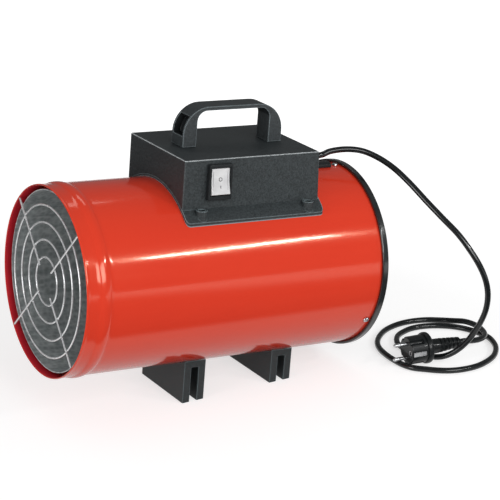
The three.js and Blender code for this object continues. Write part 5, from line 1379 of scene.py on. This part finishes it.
def pan_screw(length):
    """A pan-head screw with a cross recess: its seat is at 0 and it points down."""
    profile = [(-length, 0), (-length + 1.6, 1.9)]
    x = -length + 2
    while x < -1.2:
        profile += [(x, 2), (x + 0.45, 1.6), (x + 0.9, 2)]
        x += 1
    profile += [(0, 1.9), (0, 3.8), (1.2, 3.7), (2.1, 3), (2.55, 1.8), (2.6, 0)]
    head = upright(turned(profile, 32))
    cross = [block((-2.1, -0.5, 1.3), (2.1, 0.5, 4)), block((-0.5, -2.1, 1.3), (0.5, 2.1, 4))]
    return carved(head, *cross)


def screws():
    flip = Matrix.Rotation(math.pi, 4, "X")
    boss_seat = 90 + GAP
    foot_seat = -math.sqrt((SEAT_RADIUS + FOOT_WEB) ** 2 - FOOT_SCREW_Y**2) - 1.4
    foot_spots = [(x, y) for x in FOOT_PLACES.values() for y in (-FOOT_SCREW_Y, FOOT_SCREW_Y)]
    leg_spots = (HANDLE_LOW.x + HANDLE_LEG / 2, HANDLE_HIGH.x - HANDLE_LEG / 2)
    sets = {
        "box_screw": [moved(pan_screw(9.5), x, y, boss_seat) for x, y in BOSS_PLACES],
        "foot_screw": [moved(turn(pan_screw(12), flip), x, y, foot_seat) for x, y in foot_spots],
        "guard_screw": [
            around(moved(pan_screw(9), GUARD_X, 0, SEAT_RADIUS), angle) for angle in (0, 120, 240)
        ],
        "handle_screw": [
            moved(turn(pan_screw(13), flip), x, 0, BOX_TOP - BOX_WALL - GAP) for x in leg_spots
        ],
    }
    for name, shapes in sets.items():
        for number, shape in enumerate(shapes, 1):
            piece(f"{name}_{number}_cross", shape, ZINC, [f"{name}_{number}"])


cord_gland()
screws()

# ---------------------------------------------------------------- inner leads


def lead(node, points, radius):
    route = smooth_route(points, 5)
    piece(node + "_wire", swept(route, radius, 12), LEAD, [node], sharp=60)


lead("ignition_lead", [
    (284.3, 16, 0), (286.8, 16, 0.2), (289.4, 16, 3.2), (290, 13, 38.3), (290, 13, 108.8), (288, 14, 119),
    (276, 18, 120.5), (258.4, 27.2, 122.7), (242.1, 35.8, 124.7), (232, 41.1, 126), (232, 47.1, 126),
], 1.6)
lead("flame_sensor_lead", [
    (284.3, -16, 0), (286.8, -16, 0.2), (289.4, -16, 3.2), (290, -13, 38.3), (290, -13, 108.8),
    (290, -13, 124),
], 1.6)
lead("motor_lead", [
    (237.7, -14, 138.3), (237.7, -14, 134.3), (242.8, -16.4, 127.4), (258, -22.8, 120.4), (280, -26, 117),
    (302.8, -19, 117.8), (316.4, -6.7, 117.5), (325.5, 0, 117.3), (348.8, 0, 117.3), (366, 0, 117.3),
    (371, 0, 115.7), (372, 0, 111.3), (372, 0, 77.7), (372, 0, 38.3),
], 2)
lead("supply_lead", [
    (314.7, -15, 129.2), (308.4, -17, 131), (299.2, -22, 138.1), (284.4, -21.5, 144.9), (270.4, -19, 146.2),
    (256.3, -12.5, 145.9), (244.3, -12, 146),
], 2)
lead("switch_lead", [
    (186.4, -47.1, 128.4), (187.4, -39.1, 128.4), (191, -22, 134), (196, -13, 143), (201.1, -12, 145),
    (205.7, -12, 145),
], 2)

# ---------------------------------------------------------------- finishes of the carried-over pieces

CARRIED = {
    "motor_shaft": ZINC, "gas_pipe": COPPER, "gas_valve": BRASS, "spark_electrode": CERAMIC,
    "flame_sensor": ZINC, "terminal_block": CERAMIC, "overheat_thermostat": ZINC,
}
for carried_node, carried_finish in CARRIED.items():
    carried = frame["nodes"][carried_node]
    carried.data.materials.clear()
    carried.data.materials.append(carried_finish)

# ---------------------------------------------------------------- floor, world and lamps


# Where glossy pieces see the floor bright, in metres, and how strongly.
TABLE_HALF = 0.17
TABLE_EDGE = 0.025
CARD_X = (0.15, 0.6)
CARD_Y = (0.4, 0.7)
CARD_SHARE = 1.5
GLOSS_GLOW = 0.42


def floor():
    """A pale floor that the camera sees as white.

    Glossy pieces see it bright under the heater and well out to both sides of its rear.
    """
    bm = bmesh.new()
    bmesh.ops.create_grid(bm, x_segments=1, y_segments=1, size=3)
    ob = as_object("floor", bm)
    material = bpy.data.materials.new("pale_floor")
    material.use_nodes = True
    recipe = Recipe(material.node_tree)
    place = recipe.add("ShaderNodeTexCoord").out("Object")
    split = recipe.add("ShaderNodeSeparateXYZ", {}, {"Vector": place})
    away = recipe.add("ShaderNodeVectorMath", {"operation": "LENGTH"}, {0: place}).out("Value")
    aside = split.out("Y").joined("ABSOLUTE", split.out("Y"))
    near = 1 - aside.within(TABLE_HALF, TABLE_HALF + TABLE_EDGE)
    card = split.out("X").within(*CARD_X) * aside.within(*CARD_Y) * CARD_SHARE
    lit = near.joined("MAXIMUM", near, card)
    rays = recipe.add("ShaderNodeLightPath")
    seen = rays.out("Is Camera Ray") + rays.out("Is Transmission Ray")
    seen_glow = 0.62 + 0.35 * away.within(0.45, 1.3)
    glossy = rays.out("Is Glossy Ray")
    pale = recipe.add("ShaderNodeBsdfDiffuse", {}, {"Color": (0.55, 0.55, 0.55, 1)})
    glow = recipe.add("ShaderNodeEmission", {}, {"Strength": seen * seen_glow + glossy * lit * GLOSS_GLOW})
    both = recipe.add("ShaderNodeAddShader")
    recipe.tree.links.new(pale.out("BSDF").socket, both.node.inputs[0])
    recipe.tree.links.new(glow.out("Emission").socket, both.node.inputs[1])
    dim = recipe.add("ShaderNodeBsdfDiffuse", {}, {"Color": (0.12, 0.12, 0.12, 1)})
    far_gloss = recipe.add("ShaderNodeMixShader", {}, {0: glossy * (1 - lit)})
    recipe.tree.links.new(both.out("Shader").socket, far_gloss.node.inputs[1])
    recipe.tree.links.new(dim.out("BSDF").socket, far_gloss.node.inputs[2])
    output = recipe.add("ShaderNodeOutputMaterial")
    recipe.tree.links.new(far_gloss.out("Shader").socket, output.node.inputs["Surface"])
    ob.data.materials.append(material)


def surroundings():
    world = bpy.data.worlds.new("studio")
    bpy.context.scene.world = world
    world.use_nodes = True
    recipe = Recipe(world.node_tree)
    rays = recipe.add("ShaderNodeLightPath")
    seen = rays.out("Is Camera Ray") + rays.out("Is Transmission Ray")
    strength = 0.4 * (1 - seen) + seen - rays.out("Is Glossy Ray") * 0.24
    back = recipe.add("ShaderNodeBackground", {}, {"Color": (1, 1, 1, 1), "Strength": strength})
    recipe.add("ShaderNodeOutputWorld", {}, {"Surface": back.out("Background")})


floor()
surroundings()
softbox("streak_softbox", (1.3, -1.75, 1.36), (0.2, 0, 0.2), 0.5, 0.09, 8)
softbox("front_softbox", (0.1, -2.6, 1.25), (0, 0, 0.15), 1.7, 1.0, 39)
softbox("outlet_softbox", (-2.5, -0.5, 0.6), (-0.2, 0, 0.17), 1.0, 1.0, 20)
softbox("top_softbox", (0.45, 0.72, 1.6), (-0.37, 0, 0.25), 0.5, 0.3, 0.95)
bpy.context.scene.view_settings.view_transform = "Standard"
